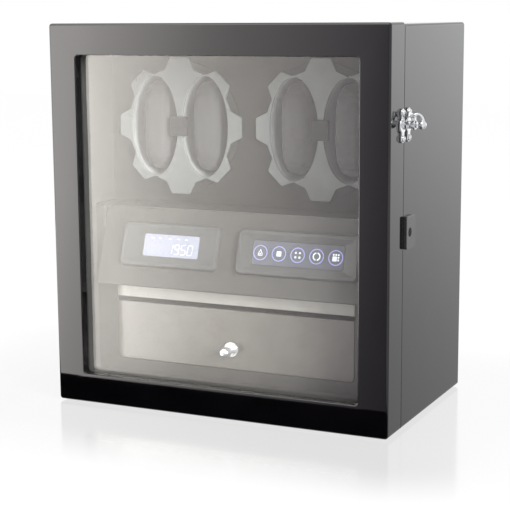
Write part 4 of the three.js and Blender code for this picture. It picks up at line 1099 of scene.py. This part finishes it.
# The cushion swells from a slightly smaller shape, and no point moves further than the cap.
def plumped():
    piece = inScene("cushionForm", cushionMesh(cushion["shrink"]))
    remesh = piece.modifiers.new("even", "REMESH")
    remesh.mode = "VOXEL"
    remesh.voxel_size = cushion["voxel"] * mm
    applied(piece)
    still = [vertex.co.copy() for vertex in piece.data.vertices]
    cloth = piece.modifiers.new("swell", "CLOTH")
    cloth.settings.use_pressure = True
    cloth.settings.uniform_pressure_force = cushion["pressure"]
    cloth.settings.effector_weights.gravity = 0
    cloth.settings.quality = cushion["quality"]
    cloth.settings.tension_stiffness = cushion["stiffness"]
    cloth.settings.compression_stiffness = cushion["stiffness"]
    cloth.settings.bending_stiffness = cushion["bending"]
    cloth.collision_settings.use_collision = False
    cloth.point_cache.frame_start = 1
    cloth.point_cache.frame_end = cushion["steps"]
    for step in range(1, cushion["steps"] + 1):
        bpy.context.scene.frame_set(step)
    applied(piece)
    bpy.context.scene.frame_set(1)
    for vertex, start in zip(piece.data.vertices, still):
        move = vertex.co - start
        if move.length > cushion["cap"] * mm:
            vertex.co = start + move.normalized() * cushion["cap"] * mm
    return piece


def cushionMiddle():
    return spot((0, (cushion["front"] + cushion["back"]) / 2, rotor["z"]))


def fitToSpace(data):
    middle = cushionMiddle()
    reach = Vector((cushion["width"], cushion["back"] - cushion["front"], cushion["height"])) / 2 * mm
    low = Vector([min((v.co - middle)[axis] for v in data.vertices) for axis in range(3)])
    high = Vector([max((v.co - middle)[axis] for v in data.vertices) for axis in range(3)])
    print("cushion swelled to", [round((high - low)[axis] / mm, 1) for axis in range(3)], "mm")
    for vertex in data.vertices:
        away = vertex.co - middle
        for axis in range(3):
            limit = reach[axis] * cushion["slack"]
            span = high[axis] if away[axis] > 0 else -low[axis]
            if span > limit:
                away[axis] *= limit / span
        vertex.co = middle + away


# A sewn channel crosses the front near each end.
def grooved(data):
    seam, wide, deep = cushion["seam"], cushion["seamWidth"], cushion["seamDepth"]
    middle = cushionMiddle()
    for vertex in data.vertices:
        away = vertex.co - middle
        off = abs(abs(away.z) / mm - seam) / wide
        vertex.co -= Vector((away.x, away.y, 0)).normalized() * (deep * mm * math.exp(-off * off))


def addStitches(form):
    tree = BVHTree.FromObject(form, bpy.context.evaluated_depsgraph_get())
    mesh = bmesh.new()
    half = cushion["width"] / 2 - cushion["stitchMargin"]
    count = int(2 * half / cushion["stitchPitch"])
    for side in (-1, 1):
        for row in (-1, 1):
            for i in range(count):
                u = -half + (i + 0.5) * cushion["stitchPitch"]
                rise = rotor["z"] + side * cushion["seam"] + row * cushion["stitchRow"]
                ends = []
                for along in spread(u - cushion["stitch"] / 2, u + cushion["stitch"] / 2, 3):
                    hit = tree.ray_cast(spot((along, cushion["front"] - 20, rise)), acrossY)[0]
                    if hit:
                        ends.append(hit - acrossY * cushion["threadLift"] * mm)
                if len(ends) == 3:
                    addTube(mesh, ends, cushion["thread"], 8)
    bmesh.ops.recalc_face_normals(mesh, faces=mesh.faces)
    return asData("stitches", mesh)


def makeCushions():
    form = plumped()
    fitToSpace(form.data)
    smooth = form.modifiers.new("smoother", "SUBSURF")
    smooth.levels = smooth.render_levels = 1
    applied(form)
    grooved(form.data)
    stitches = addStitches(form)
    for place, x in cushion["places"]:
        data = form.data.copy()
        data.transform(Matrix.Translation((x * mm, 0, 0)))
        piece = dressed(f"cushion_{place}_plump", data, suede, ("cushion_" + place,), sharp=math.radians(60))
        thread = stitches.copy()
        thread.transform(Matrix.Translation((x * mm, 0, 0)))
        body = body_of(cadNodes["cushion_" + place])[0]
        dressed(f"cushionStitches_{place}", thread, threadGrey, body=body)
    bpy.data.objects.remove(form)


makeCushions()
print("cushions made")


# The drive sits behind the rotor panel.

for side in ("left", "right"):
    refined("motor_" + side, plainSteel, 0.4)
    refined("bearing_" + side, plainSteel, 0.3)
    refined("drive_gear_" + side, mouldedGrey, 0)
    refined("pinion_" + side, mouldedGrey, 0)
refined("drive_frame", plainSteel, 0.3)
refined("control_board", circuitGreen, 0.1)
print("drive made")


# The catch is on the right side.

catch = dict(
    plateSeat=175.3, plateFace=177.3, plateEdge=0.7, backEdge=0.1, radius=7, lobe=3.9, spread=11.5, waist=3,
    z=283.5, doorY=28, cabinetY=43.9, screwHead=2.9, screwRise=1.9, screwCollar=0.3, shank=1.3, shankDepth=11,
    screwSeat=0.1, screwEdge=0.15, sunk=0.5, washerEdge=0.6, headBackEdge=0.25, headEdge=0.7, headCrown=0.05,
    crossReach=1.8, crossHalf=0.3, crossFloor=1.3, washer=3.7, washerDepth=2.5, stud=1.9, head=3, headDepth=1,
    clearance=0.3, post=1.9, postY=28.5, postRise=2.6, leverInner=180.1, leverDepth=3.4, lift=14,
    leverEdge=0.8, leverBackEdge=0.5, hub=4.7, hubEdge=0.9, hubBackEdge=0.5,
    neckWidth=4.2, neckReach=4.7, neckRise=6.8, armWidth=3.2, armRoot=1.5,
    clawWidth=2.2, clawDrop=1.4, clawEdge=0.6, clawInnerEdge=0.3,
    swan=1.7, swanRise=3.4, swanEnds=1.15, swanThinned=0.3, ball=4, ballX=189.3,
)


def catchPlateOutline():
    apart, lobe, disc, waist = catch["spread"], catch["lobe"], catch["radius"], catch["waist"]
    meetTop = math.sqrt(lobe ** 2 - waist ** 2)
    meetDisc = math.sqrt(disc ** 2 - waist ** 2)
    corners = []
    discTurn = math.atan2(meetDisc, waist)
    lobeTurn = math.atan2(-meetTop, waist)
    for side in (1, -1):  # the right half going up, then the left half coming down
        for t in spread(-discTurn, discTurn, 22):
            corners.append((side * disc * math.cos(t), side * disc * math.sin(t)))
        for t in spread(lobeTurn, math.pi - lobeTurn, 26):
            corners.append((side * lobe * math.cos(t), side * (apart + lobe * math.sin(t))))
    return corners


def makeCatchPlate(part, y):
    lay = onRight(catch["plateSeat"], y, catch["z"])
    mesh = bmesh.new()
    thick = catch["plateFace"] - catch["plateSeat"]
    leverTop = catch["leverInner"] + catch["leverDepth"] - catch["plateSeat"]
    sunk = thick - catch["sunk"]
    addPlate(mesh, [catchPlateOutline()], 0, thick, lay, catch["plateEdge"], catch["backEdge"], 4)
    if part == "cabinet":
        washerTop = thick + catch["washerDepth"]
        headBack = leverTop + catch["clearance"]
        headFront = headBack + catch["headDepth"]
        profile = softProfile(
            [
                (0, sunk, 0), (catch["washer"], sunk, 0),
                (catch["washer"], washerTop, catch["washerEdge"]),
                (catch["stud"], washerTop, 0), (catch["stud"], headBack, 0),
                (catch["head"], headBack, catch["headBackEdge"]),
                (catch["head"], headFront, catch["headEdge"]), (0, headFront + catch["headCrown"], 0),
            ]
        )
        addTurned(mesh, profile, lay, 40)
    else:
        post, top = catch["post"], leverTop - catch["clearance"]
        profile = softProfile([(0, sunk, 0), (post, sunk, 0), (post, top, catch["headEdge"]), (0, top, 0)])
        addTurned(mesh, profile, lay, 32, (catch["postY"] - y, catch["postRise"]))
    asPiece(f"catchPlate_{part}_lobed", mesh, chromePlate, ("catch_plate_" + part,))


def crossOutline(reach, half):  # a plus sign, for the screws' recess
    arm = [(half, half), (half, reach), (-half, reach)]
    outline = []
    for quarter in range(4):
        outline += arm
        arm = [(-y, x) for x, y in arm]
    return outline


def makeCatchScrews():
    head, collar, shank, deep = (catch[key] for key in ("screwHead", "screwCollar", "shank", "shankDepth"))
    seat = catch["screwSeat"]
    stem = [(0, -deep), (shank, -deep), (shank, seat), (head - catch["screwEdge"], seat)]
    turns = spread(0, math.pi / 2, 8)
    dome = [(head * math.cos(t), collar + catch["screwRise"] * math.sin(t)) for t in turns[:-1]]
    dome.append((0, collar + catch["screwRise"]))
    cross = crossOutline(catch["crossReach"], catch["crossHalf"])
    for part, y in (("door", catch["doorY"]), ("cabinet", catch["cabinetY"])):
        for place, rise in (("lower", -catch["spread"]), ("upper", catch["spread"])):
            mesh = bmesh.new()
            lay = onRight(catch["plateFace"], y, catch["z"] + rise)
            addTurned(mesh, stem + dome, lay, 32)
            node = f"catch_screw_{part}_{place}"
            piece = asPiece(f"catchScrew_{part}_{place}_domed", mesh, chromePlate, (node,))
            groove = bmesh.new()
            addPlate(groove, [cross], catch["crossFloor"], collar + 2 * catch["screwRise"], lay, 0)
            cutAway(piece, groove)


def makeLever():
    pivot = Vector((catch["leverInner"], catch["cabinetY"], catch["z"]))
    reach = math.hypot(catch["cabinetY"] - catch["postY"], catch["postRise"])
    hooked = math.atan2(catch["postRise"], catch["cabinetY"] - catch["postY"])
    turn = -(hooked + math.radians(catch["lift"]))
    right = Vector((0, math.cos(turn), math.sin(turn)))
    up = Vector((0, -math.sin(turn), math.cos(turn)))
    lay = drawnOn(pivot, right, up)
    clawInner = reach + catch["post"] + catch["clearance"]
    clawOuter = clawInner + catch["clawWidth"]
    armBottom = catch["post"] + catch["clearance"]
    clawTop = armBottom + catch["armWidth"]
    lip = catch["post"] - catch["clawDrop"]
    neckHalf, armHalf, edge = catch["neckWidth"] / 2, catch["armWidth"] / 2, catch["clawEdge"]
    corners = [
        (-neckHalf, 0, 0), (catch["neckReach"] - neckHalf, catch["neckRise"] + armHalf, armHalf),
        (clawOuter, clawTop, armHalf), (clawOuter, lip, edge), (clawInner, lip, catch["clawInnerEdge"]),
        (clawInner, armBottom, edge), (reach - catch["post"], armBottom, edge),
        (catch["neckReach"] + neckHalf, catch["neckRise"] - armHalf, catch["armRoot"]), (neckHalf, 0, 0),
    ]
    outline = cornered([(-u, v, r) for u, v, r in corners], steps=6)
    mesh = bmesh.new()
    deep = catch["leverDepth"]
    addPlate(mesh, [outline], 0, deep, lay, catch["leverEdge"], catch["leverBackEdge"], 4)
    hub, hubBack = catch["hub"], catch["hubBackEdge"]
    profile = softProfile([(0, 0, 0), (hub, 0, hubBack), (hub, deep, catch["hubEdge"]), (0, deep, 0)])
    addTurned(mesh, profile, lay, 48)
    ballReach = catch["ballX"] - catch["leverInner"]
    neck, high, ball = catch["neckReach"], catch["neckRise"] + catch["swanRise"], catch["ball"]
    knots = [  # of a curve from the arm's corner out to the ball
        Vector((-neck, catch["neckRise"] - armHalf, deep / 2)), Vector((-neck, high, deep / 2)),
        Vector((-neck / 2, high, ballReach)), Vector((0, ball / 2, ballReach)),
    ]
    path, radii = [], []
    for s in spread(0, 1, 20):
        a, b, c, d = (1 - s) ** 3, 3 * s * (1 - s) ** 2, 3 * s * s * (1 - s), s ** 3
        path.append(lay(*(knots[0] * a + knots[1] * b + knots[2] * c + knots[3] * d)))
        radii.append(catch["swan"] * (catch["swanEnds"] - catch["swanThinned"] * math.sin(math.pi * s)))
    addTube(mesh, path, radii, 24)
    turns = spread(-math.pi / 2, math.pi / 2, 22)[1:-1]
    sphere = [(ball * math.cos(t), ballReach + ball * math.sin(t)) for t in turns]
    sphere = [(0, ballReach - ball)] + sphere + [(0, ballReach + ball)]
    addTurned(mesh, sphere, lay, 40)
    asPiece("catchLever_cast", mesh, chromePlate, ("catch_lever",))


for part in ("cabinet", "door"):
    makeCatchPlate(part, catch[part + "Y"])
makeCatchScrews()
makeLever()
print("catch made")


lock = dict(
    seat=175.3, thickness=3.2, y=45.5, z=185.7, half=15, front=-8.9, back=15.1,
    corner=2, farCorner=5, edge=0.6, backEdge=0.2, plug=3.75, plugGap=0.3, plugEdge=0.3,
    keyholeWidth=1.1, keyholeHeight=4.6, keyholeDepth=2.9, keyholeCorner=0.45,
    barrel=6, barrelEdge=0.4,
    barrelTop=-0.6, barrelInner=158.3,  # the barrel's top is below the seat, its inner end is in x
)


def makeLock():
    lay = onRight(lock["seat"], lock["y"], lock["z"])
    half, corner = lock["half"], lock["corner"]
    outline = oblong(lock["front"], lock["back"], -half, half, (corner, corner, lock["farCorner"], corner), 8)
    hole = circle(lock["plug"] + lock["plugGap"], 48)
    mesh = bmesh.new()
    addPlate(mesh, [outline, hole], 0, lock["thickness"], lay, lock["edge"], lock["backEdge"], 4)
    asPiece("lockBlock_polished", mesh, glossPanel, ("lock_block",))
    mesh = bmesh.new()
    plug, top, inner = lock["plug"], lock["barrelTop"], lock["barrelInner"] - lock["seat"]
    wide, tall = lock["keyholeWidth"] / 2, lock["keyholeHeight"] / 2
    keyhole = centred(wide, tall, lock["keyholeCorner"], 5)
    deep = lock["thickness"] - lock["keyholeDepth"]
    addPlate(mesh, [circle(plug, 48), keyhole], deep, lock["thickness"], lay, lock["plugEdge"])
    addTurned(mesh, [(0, top), (plug, top), (plug, deep), (0, deep)], lay, 48)
    radius, edge = lock["barrel"], lock["barrelEdge"]
    barrel = softProfile([(0, inner, 0), (radius, inner, edge), (radius, top, edge), (0, top, 0)])
    addTurned(mesh, barrel, lay, 48)
    asPiece("lockBarrel_turned", mesh, keySteel, ("lock_barrel",))
    refined("lock_cam", plainSteel, 0.3)


makeLock()
print("lock made")


# The hinges are on the left side.

hinge = dict(
    y=36.3, leafFace=-176.9, heights=(("lower", 73.5), ("upper", 302.5)),
    screwRadius=2.6, screwPlaces=((9.3, -17), (16.3, 0), (9.3, 17)),  # off the pin and off the leaf's middle
)


def makeHinges():
    for place, z in hinge["heights"]:
        for part in ("leaf_cabinet", "leaf_door", "pin"):
            refined(f"hinge_{part}_{place}", plainSteel, 0.25)
        for part, side in (("door", -1), ("cabinet", 1)):
            screws = bmesh.new()
            for across, rise in hinge["screwPlaces"]:
                lay = onLeft(hinge["leafFace"], hinge["y"] + side * across, z + rise)
                countersunk(screws, lay, 0, 0, hinge["screwRadius"])
            asPiece(f"hingeScrews_{part}_{place}", screws, plainSteel, body=part)


makeHinges()
print("hinges made")


# The studio: floor, world, lamps and the cards that show in polished surfaces.

studio = dict(
    floorSize=9.0, floorWhite=0.80, floorGlow=0.97, floorMatt=0.07, floorMirror=0.22, mirrorHaze=0.12,
    # the painted shadow on the floor: the share of glow it takes near the box, and the distances in metres
    # over which it fades
    mirrorFull=0.07, mirrorGone=0.17, paintedShadowDepth=0.09, paintedShadowNear=0.06, paintedShadowFar=0.22,
    skyForSurfaces=0.30, skyInReflections=1.0,
    keyPlace=(0.8, -2.1, 1.4), keySize=1.3, keyPower=4,
    rakePlace=(2.2, -1.15, 0.9), rakeSize=1.1, rakePower=100,
    fillPlace=(-1.8, -1.3, 1.3), fillSize=1.5, fillPower=3,
    topPlace=(0.2, 0.6, 1.9), topSize=1.3, topPower=7,
)


def raysSeen(tree):  # 1 for what the camera sees, straight or in a mirror or through the pane
    return oneOf(tree, "Is Camera Ray", "Is Glossy Ray", "Is Transmission Ray")


# How far a spot on the floor lies from the box's footprint, in metres.
def awayFromBox(tree):
    x, y, _ = splitPlace(tree)
    squares = []
    for place, half in ((x, frameBox[1][0]), (y, frameBox[1][1])):
        past = chained(tree, "SUBTRACT", chained(tree, "ABSOLUTE", place), half)
        squares.append(chained(tree, "POWER", chained(tree, "MAXIMUM", past), 2.0))
    return chained(tree, "POWER", chained(tree, "ADD", *squares), 0.5)


def lying(x, y, farX, farY, z):
    return [(x, y, z), (farX, y, z), (farX, farY, z), (x, farY, z)]


def upright(x, y, farX, farY, high):
    return [(x, y, 0), (farX, farY, 0), (farX, farY, high), (x, y, high)]


def oneFace(name, corners):
    mesh = bmesh.new()
    mesh.faces.new([mesh.verts.new(corner) for corner in corners])
    return inScene(name, asData(name, mesh))


# The floor glows evenly, dimmed near the box by a painted shadow, and mirrors the box where it stands close.
def addFloor():
    half = studio["floorSize"] / 2
    floor = oneFace("studioFloor", lying(-half, -half, half, half, 0))
    finish, tree, shader = newFinish("paleFloor")
    white = studio["floorWhite"]
    pale = shades(tree, grain(tree, 60, 4), (white - 0.01,) * 3, (white + 0.01,) * 3)
    fillInputs(tree, shader, {"Base Color": pale, "Roughness": 0.9, "Specular IOR Level": 0.0})
    away = awayFromBox(tree)
    near, far, depth = (studio[key] for key in ("paintedShadowNear", "paintedShadowFar", "paintedShadowDepth"))
    full, matt = studio["floorGlow"], studio["floorMatt"]
    # painted shadow: the glow falls by the shadow's depth near the box and comes back in full by its far
    # distance
    strength = between(tree, away, full * (1 - depth), full, near, far)
    glow = addNode(tree, "ShaderNodeEmission", {"Color": (1, 1, 1, 1), "Strength": strength})
    dull = addNode(tree, "ShaderNodeBsdfDiffuse", {"Color": (matt, matt, matt, 1)})
    lit = addNode(tree, "ShaderNodeAddShader", {0: dull.outputs["BSDF"], 1: glow.outputs["Emission"]})
    mirror = addNode(tree, "ShaderNodeBsdfGlossy", {"Roughness": studio["mirrorHaze"], "Color": (1, 1, 1, 1)})
    closest, gone = studio["mirrorFull"], studio["mirrorGone"]
    fade = between(tree, away, studio["floorMirror"], 0.0, closest, gone, interpolation_type="SMOOTHSTEP")
    polished = mixed(tree, fade, lit.outputs["Shader"], mirror.outputs["BSDF"])
    showSurface(tree, mixed(tree, raysSeen(tree), shader.outputs["BSDF"], polished))
    floor.data.materials.append(finish)


def addWorld():
    world = bpy.data.worlds.new("studioWorld")
    bpy.context.scene.world = world
    world.use_nodes = True
    tree = world.node_tree
    level = between(tree, raysSeen(tree), studio["skyForSurfaces"], studio["skyInReflections"], 0.0, 1.0)
    fillInputs(tree, tree.nodes["Background"], {"Color": (1, 1, 1, 1), "Strength": level})


def addLamp(name, place, size, power, aim=(0, 0, 0.18)):
    data = bpy.data.lights.new(name, "AREA")
    data.shape = "SQUARE"
    data.size = size
    data.energy = power
    lamp = inScene(name, data)
    lamp.location = place
    lamp.rotation_euler = (Vector(aim) - Vector(place)).to_track_quat("-Z", "Y").to_euler()
    lamp.visible_camera = False
    lamp.visible_glossy = False


# Each card only shows in polished surfaces. Its brightness runs with the direction in which it lies
# from a point behind the surface that mirrors it: sideways for the front, up and down for the right side.
cards = dict(
    frontEye=(0.5870, 1.0506, 0.3833), frontY=-1.35, frontHigh=0.9, frontLeft=-1.35, frontRight=0.25,
    floorNear=-0.198, rise=0.0005, tilt=0.15, lowDrop=0.30, lowLevel=0.80,
    frontStops=(
        (-0.72, 7.0), (-0.655, 6.9), (-0.605, 5.6), (-0.552, 4.0), (-0.499, 2.55),
        (-0.445, 1.85), (-0.392, 1.25), (-0.34, 0.62), (-0.30, 0.40), (-0.26, 0.36),
    ),
    frontTints=((0.0, (1.03, 1.0, 0.965)), (0.55, (1.04, 0.985, 0.975)), (1.0, (1.0, 0.93, 1.08))),
    leftX=-1.5, leftBack=0.1, leftLevel=4.5, blackLevel=0.004,
    overLeft=-1.1, overRight=0.5, overBack=-0.25, overZ=1.25, overLevel=5.0, dimmest=0.97,
    sideGap=0.5, sideRight=3, sideBack=1.4, sideHigh=0.7,  # the gap in mm from the cabinet's side
    sideEye=(-0.2482, -1.2656, 0.3833),
    sideStops=((0.0, 1.72), (0.06, 1.42), (0.12, 1.12), (0.18, 0.87), (0.24, 0.69), (0.30, 0.58)),
)


def steppedLevel(tree, value, stops):
    low, high = stops[0][0], stops[-1][0]
    peak = max(level for _, level in stops)
    along = between(tree, value, 0.0, 1.0, low, high)
    curve = addNode(tree, "ShaderNodeFloatCurve", {"Value": along})
    points = curve.mapping.curves[0].points
    while len(points) < len(stops):
        points.new(0.5, 0.5)
    for point, (place, level) in zip(points, stops):
        point.location = ((place - low) / (high - low), level / peak)
    curve.mapping.update()
    return chained(tree, "MULTIPLY", curve.outputs["Value"], peak), along


def addCard(name, corners, paint):
    card = oneFace(name, corners)
    finish, tree, shader = newFinish(name)
    tree.nodes.remove(shader)
    glow = addNode(tree, "ShaderNodeEmission")
    paint(tree, glow)
    clear = addNode(tree, "ShaderNodeBsdfTransparent", {"Color": (1, 1, 1, 1)})
    behind = addNode(tree, "ShaderNodeNewGeometry").outputs["Backfacing"]
    showSurface(tree, mixed(tree, behind, glow.outputs["Emission"], clear.outputs["BSDF"]))
    card.data.materials.append(finish)
    for flag in ("visible_camera", "visible_diffuse", "visible_shadow"):
        setattr(card, flag, False)


def paintFront(tree, glow):
    eyeX, eyeY, eyeZ = cards["frontEye"]
    x, y, z = splitPlace(tree)
    ahead = chained(tree, "SUBTRACT", eyeY, y)
    sideways = chained(tree, "DIVIDE", chained(tree, "SUBTRACT", x, eyeX), ahead)
    drop = chained(tree, "DIVIDE", chained(tree, "SUBTRACT", eyeZ, z), ahead)
    tilted = chained(tree, "ADD", sideways, chained(tree, "MULTIPLY", drop, cards["tilt"]))
    level, along = steppedLevel(tree, tilted, cards["frontStops"])
    lower = between(tree, drop, 1.0, cards["lowLevel"], cards["lowDrop"] / 2, cards["lowDrop"])
    places, tints = zip(*cards["frontTints"])
    colour = shades(tree, along, *tints, places=places)
    fillInputs(tree, glow, {"Color": colour, "Strength": chained(tree, "MULTIPLY", level, lower)})


def paintSide(tree, glow):
    eyeX, eyeY, eyeZ = cards["sideEye"]
    x, y, z = splitPlace(tree)
    across = chained(tree, "POWER", chained(tree, "SUBTRACT", x, eyeX), 2.0)
    along = chained(tree, "POWER", chained(tree, "SUBTRACT", y, eyeY), 2.0)
    away = chained(tree, "POWER", chained(tree, "ADD", across, along), 0.5)
    drop = chained(tree, "DIVIDE", chained(tree, "SUBTRACT", eyeZ, z), away)
    fillInputs(tree, glow, {"Strength": steppedLevel(tree, drop, cards["sideStops"])[0]})


def evenly(low, high, size=400, detail=1):  # a card of one brightness
    def paint(tree, glow):
        fillInputs(tree, glow, {"Strength": between(tree, grain(tree, size, detail), low, high)})

    return paint


def addCards():
    y, high = cards["frontY"], cards["frontHigh"]
    left, right = cards["frontLeft"], cards["frontRight"]
    near, rise, face = cards["floorNear"], cards["rise"], frameBox[0][1]
    addCard("frontCard", upright(right, y, left, y, high), paintFront)
    addCard("frontSheet", lying(left, y, right, near, rise), paintFront)
    addCard("blackSheet", lying(left, near, right, face, rise), evenly(0.0, cards["blackLevel"], 30, 2))
    x, level = cards["leftX"], cards["leftLevel"]
    addCard("leftCard", upright(x, y, x, cards["leftBack"], high), evenly(level * cards["dimmest"], level))
    level = cards["overLevel"]
    over = lying(cards["overLeft"], cards["overBack"], cards["overRight"], y, cards["overZ"])
    addCard("overCard", over, evenly(level * cards["dimmest"], level))
    x, far, back = spot((cabinet["side"] + cards["sideGap"], 0, 0)).x, cards["sideRight"], cards["sideBack"]
    addCard("sideSheet", lying(x, face, far, back, rise), paintSide)
    addCard("sideCard", upright(x, back, far, back, cards["sideHigh"]), paintSide)


addFloor()
addWorld()
for name in ("key", "rake", "fill", "top"):
    addLamp(name + "Lamp", studio[name + "Place"], studio[name + "Size"], studio[name + "Power"])
addCards()
bpy.context.scene.view_settings.view_transform = "Standard"
print("studio made")
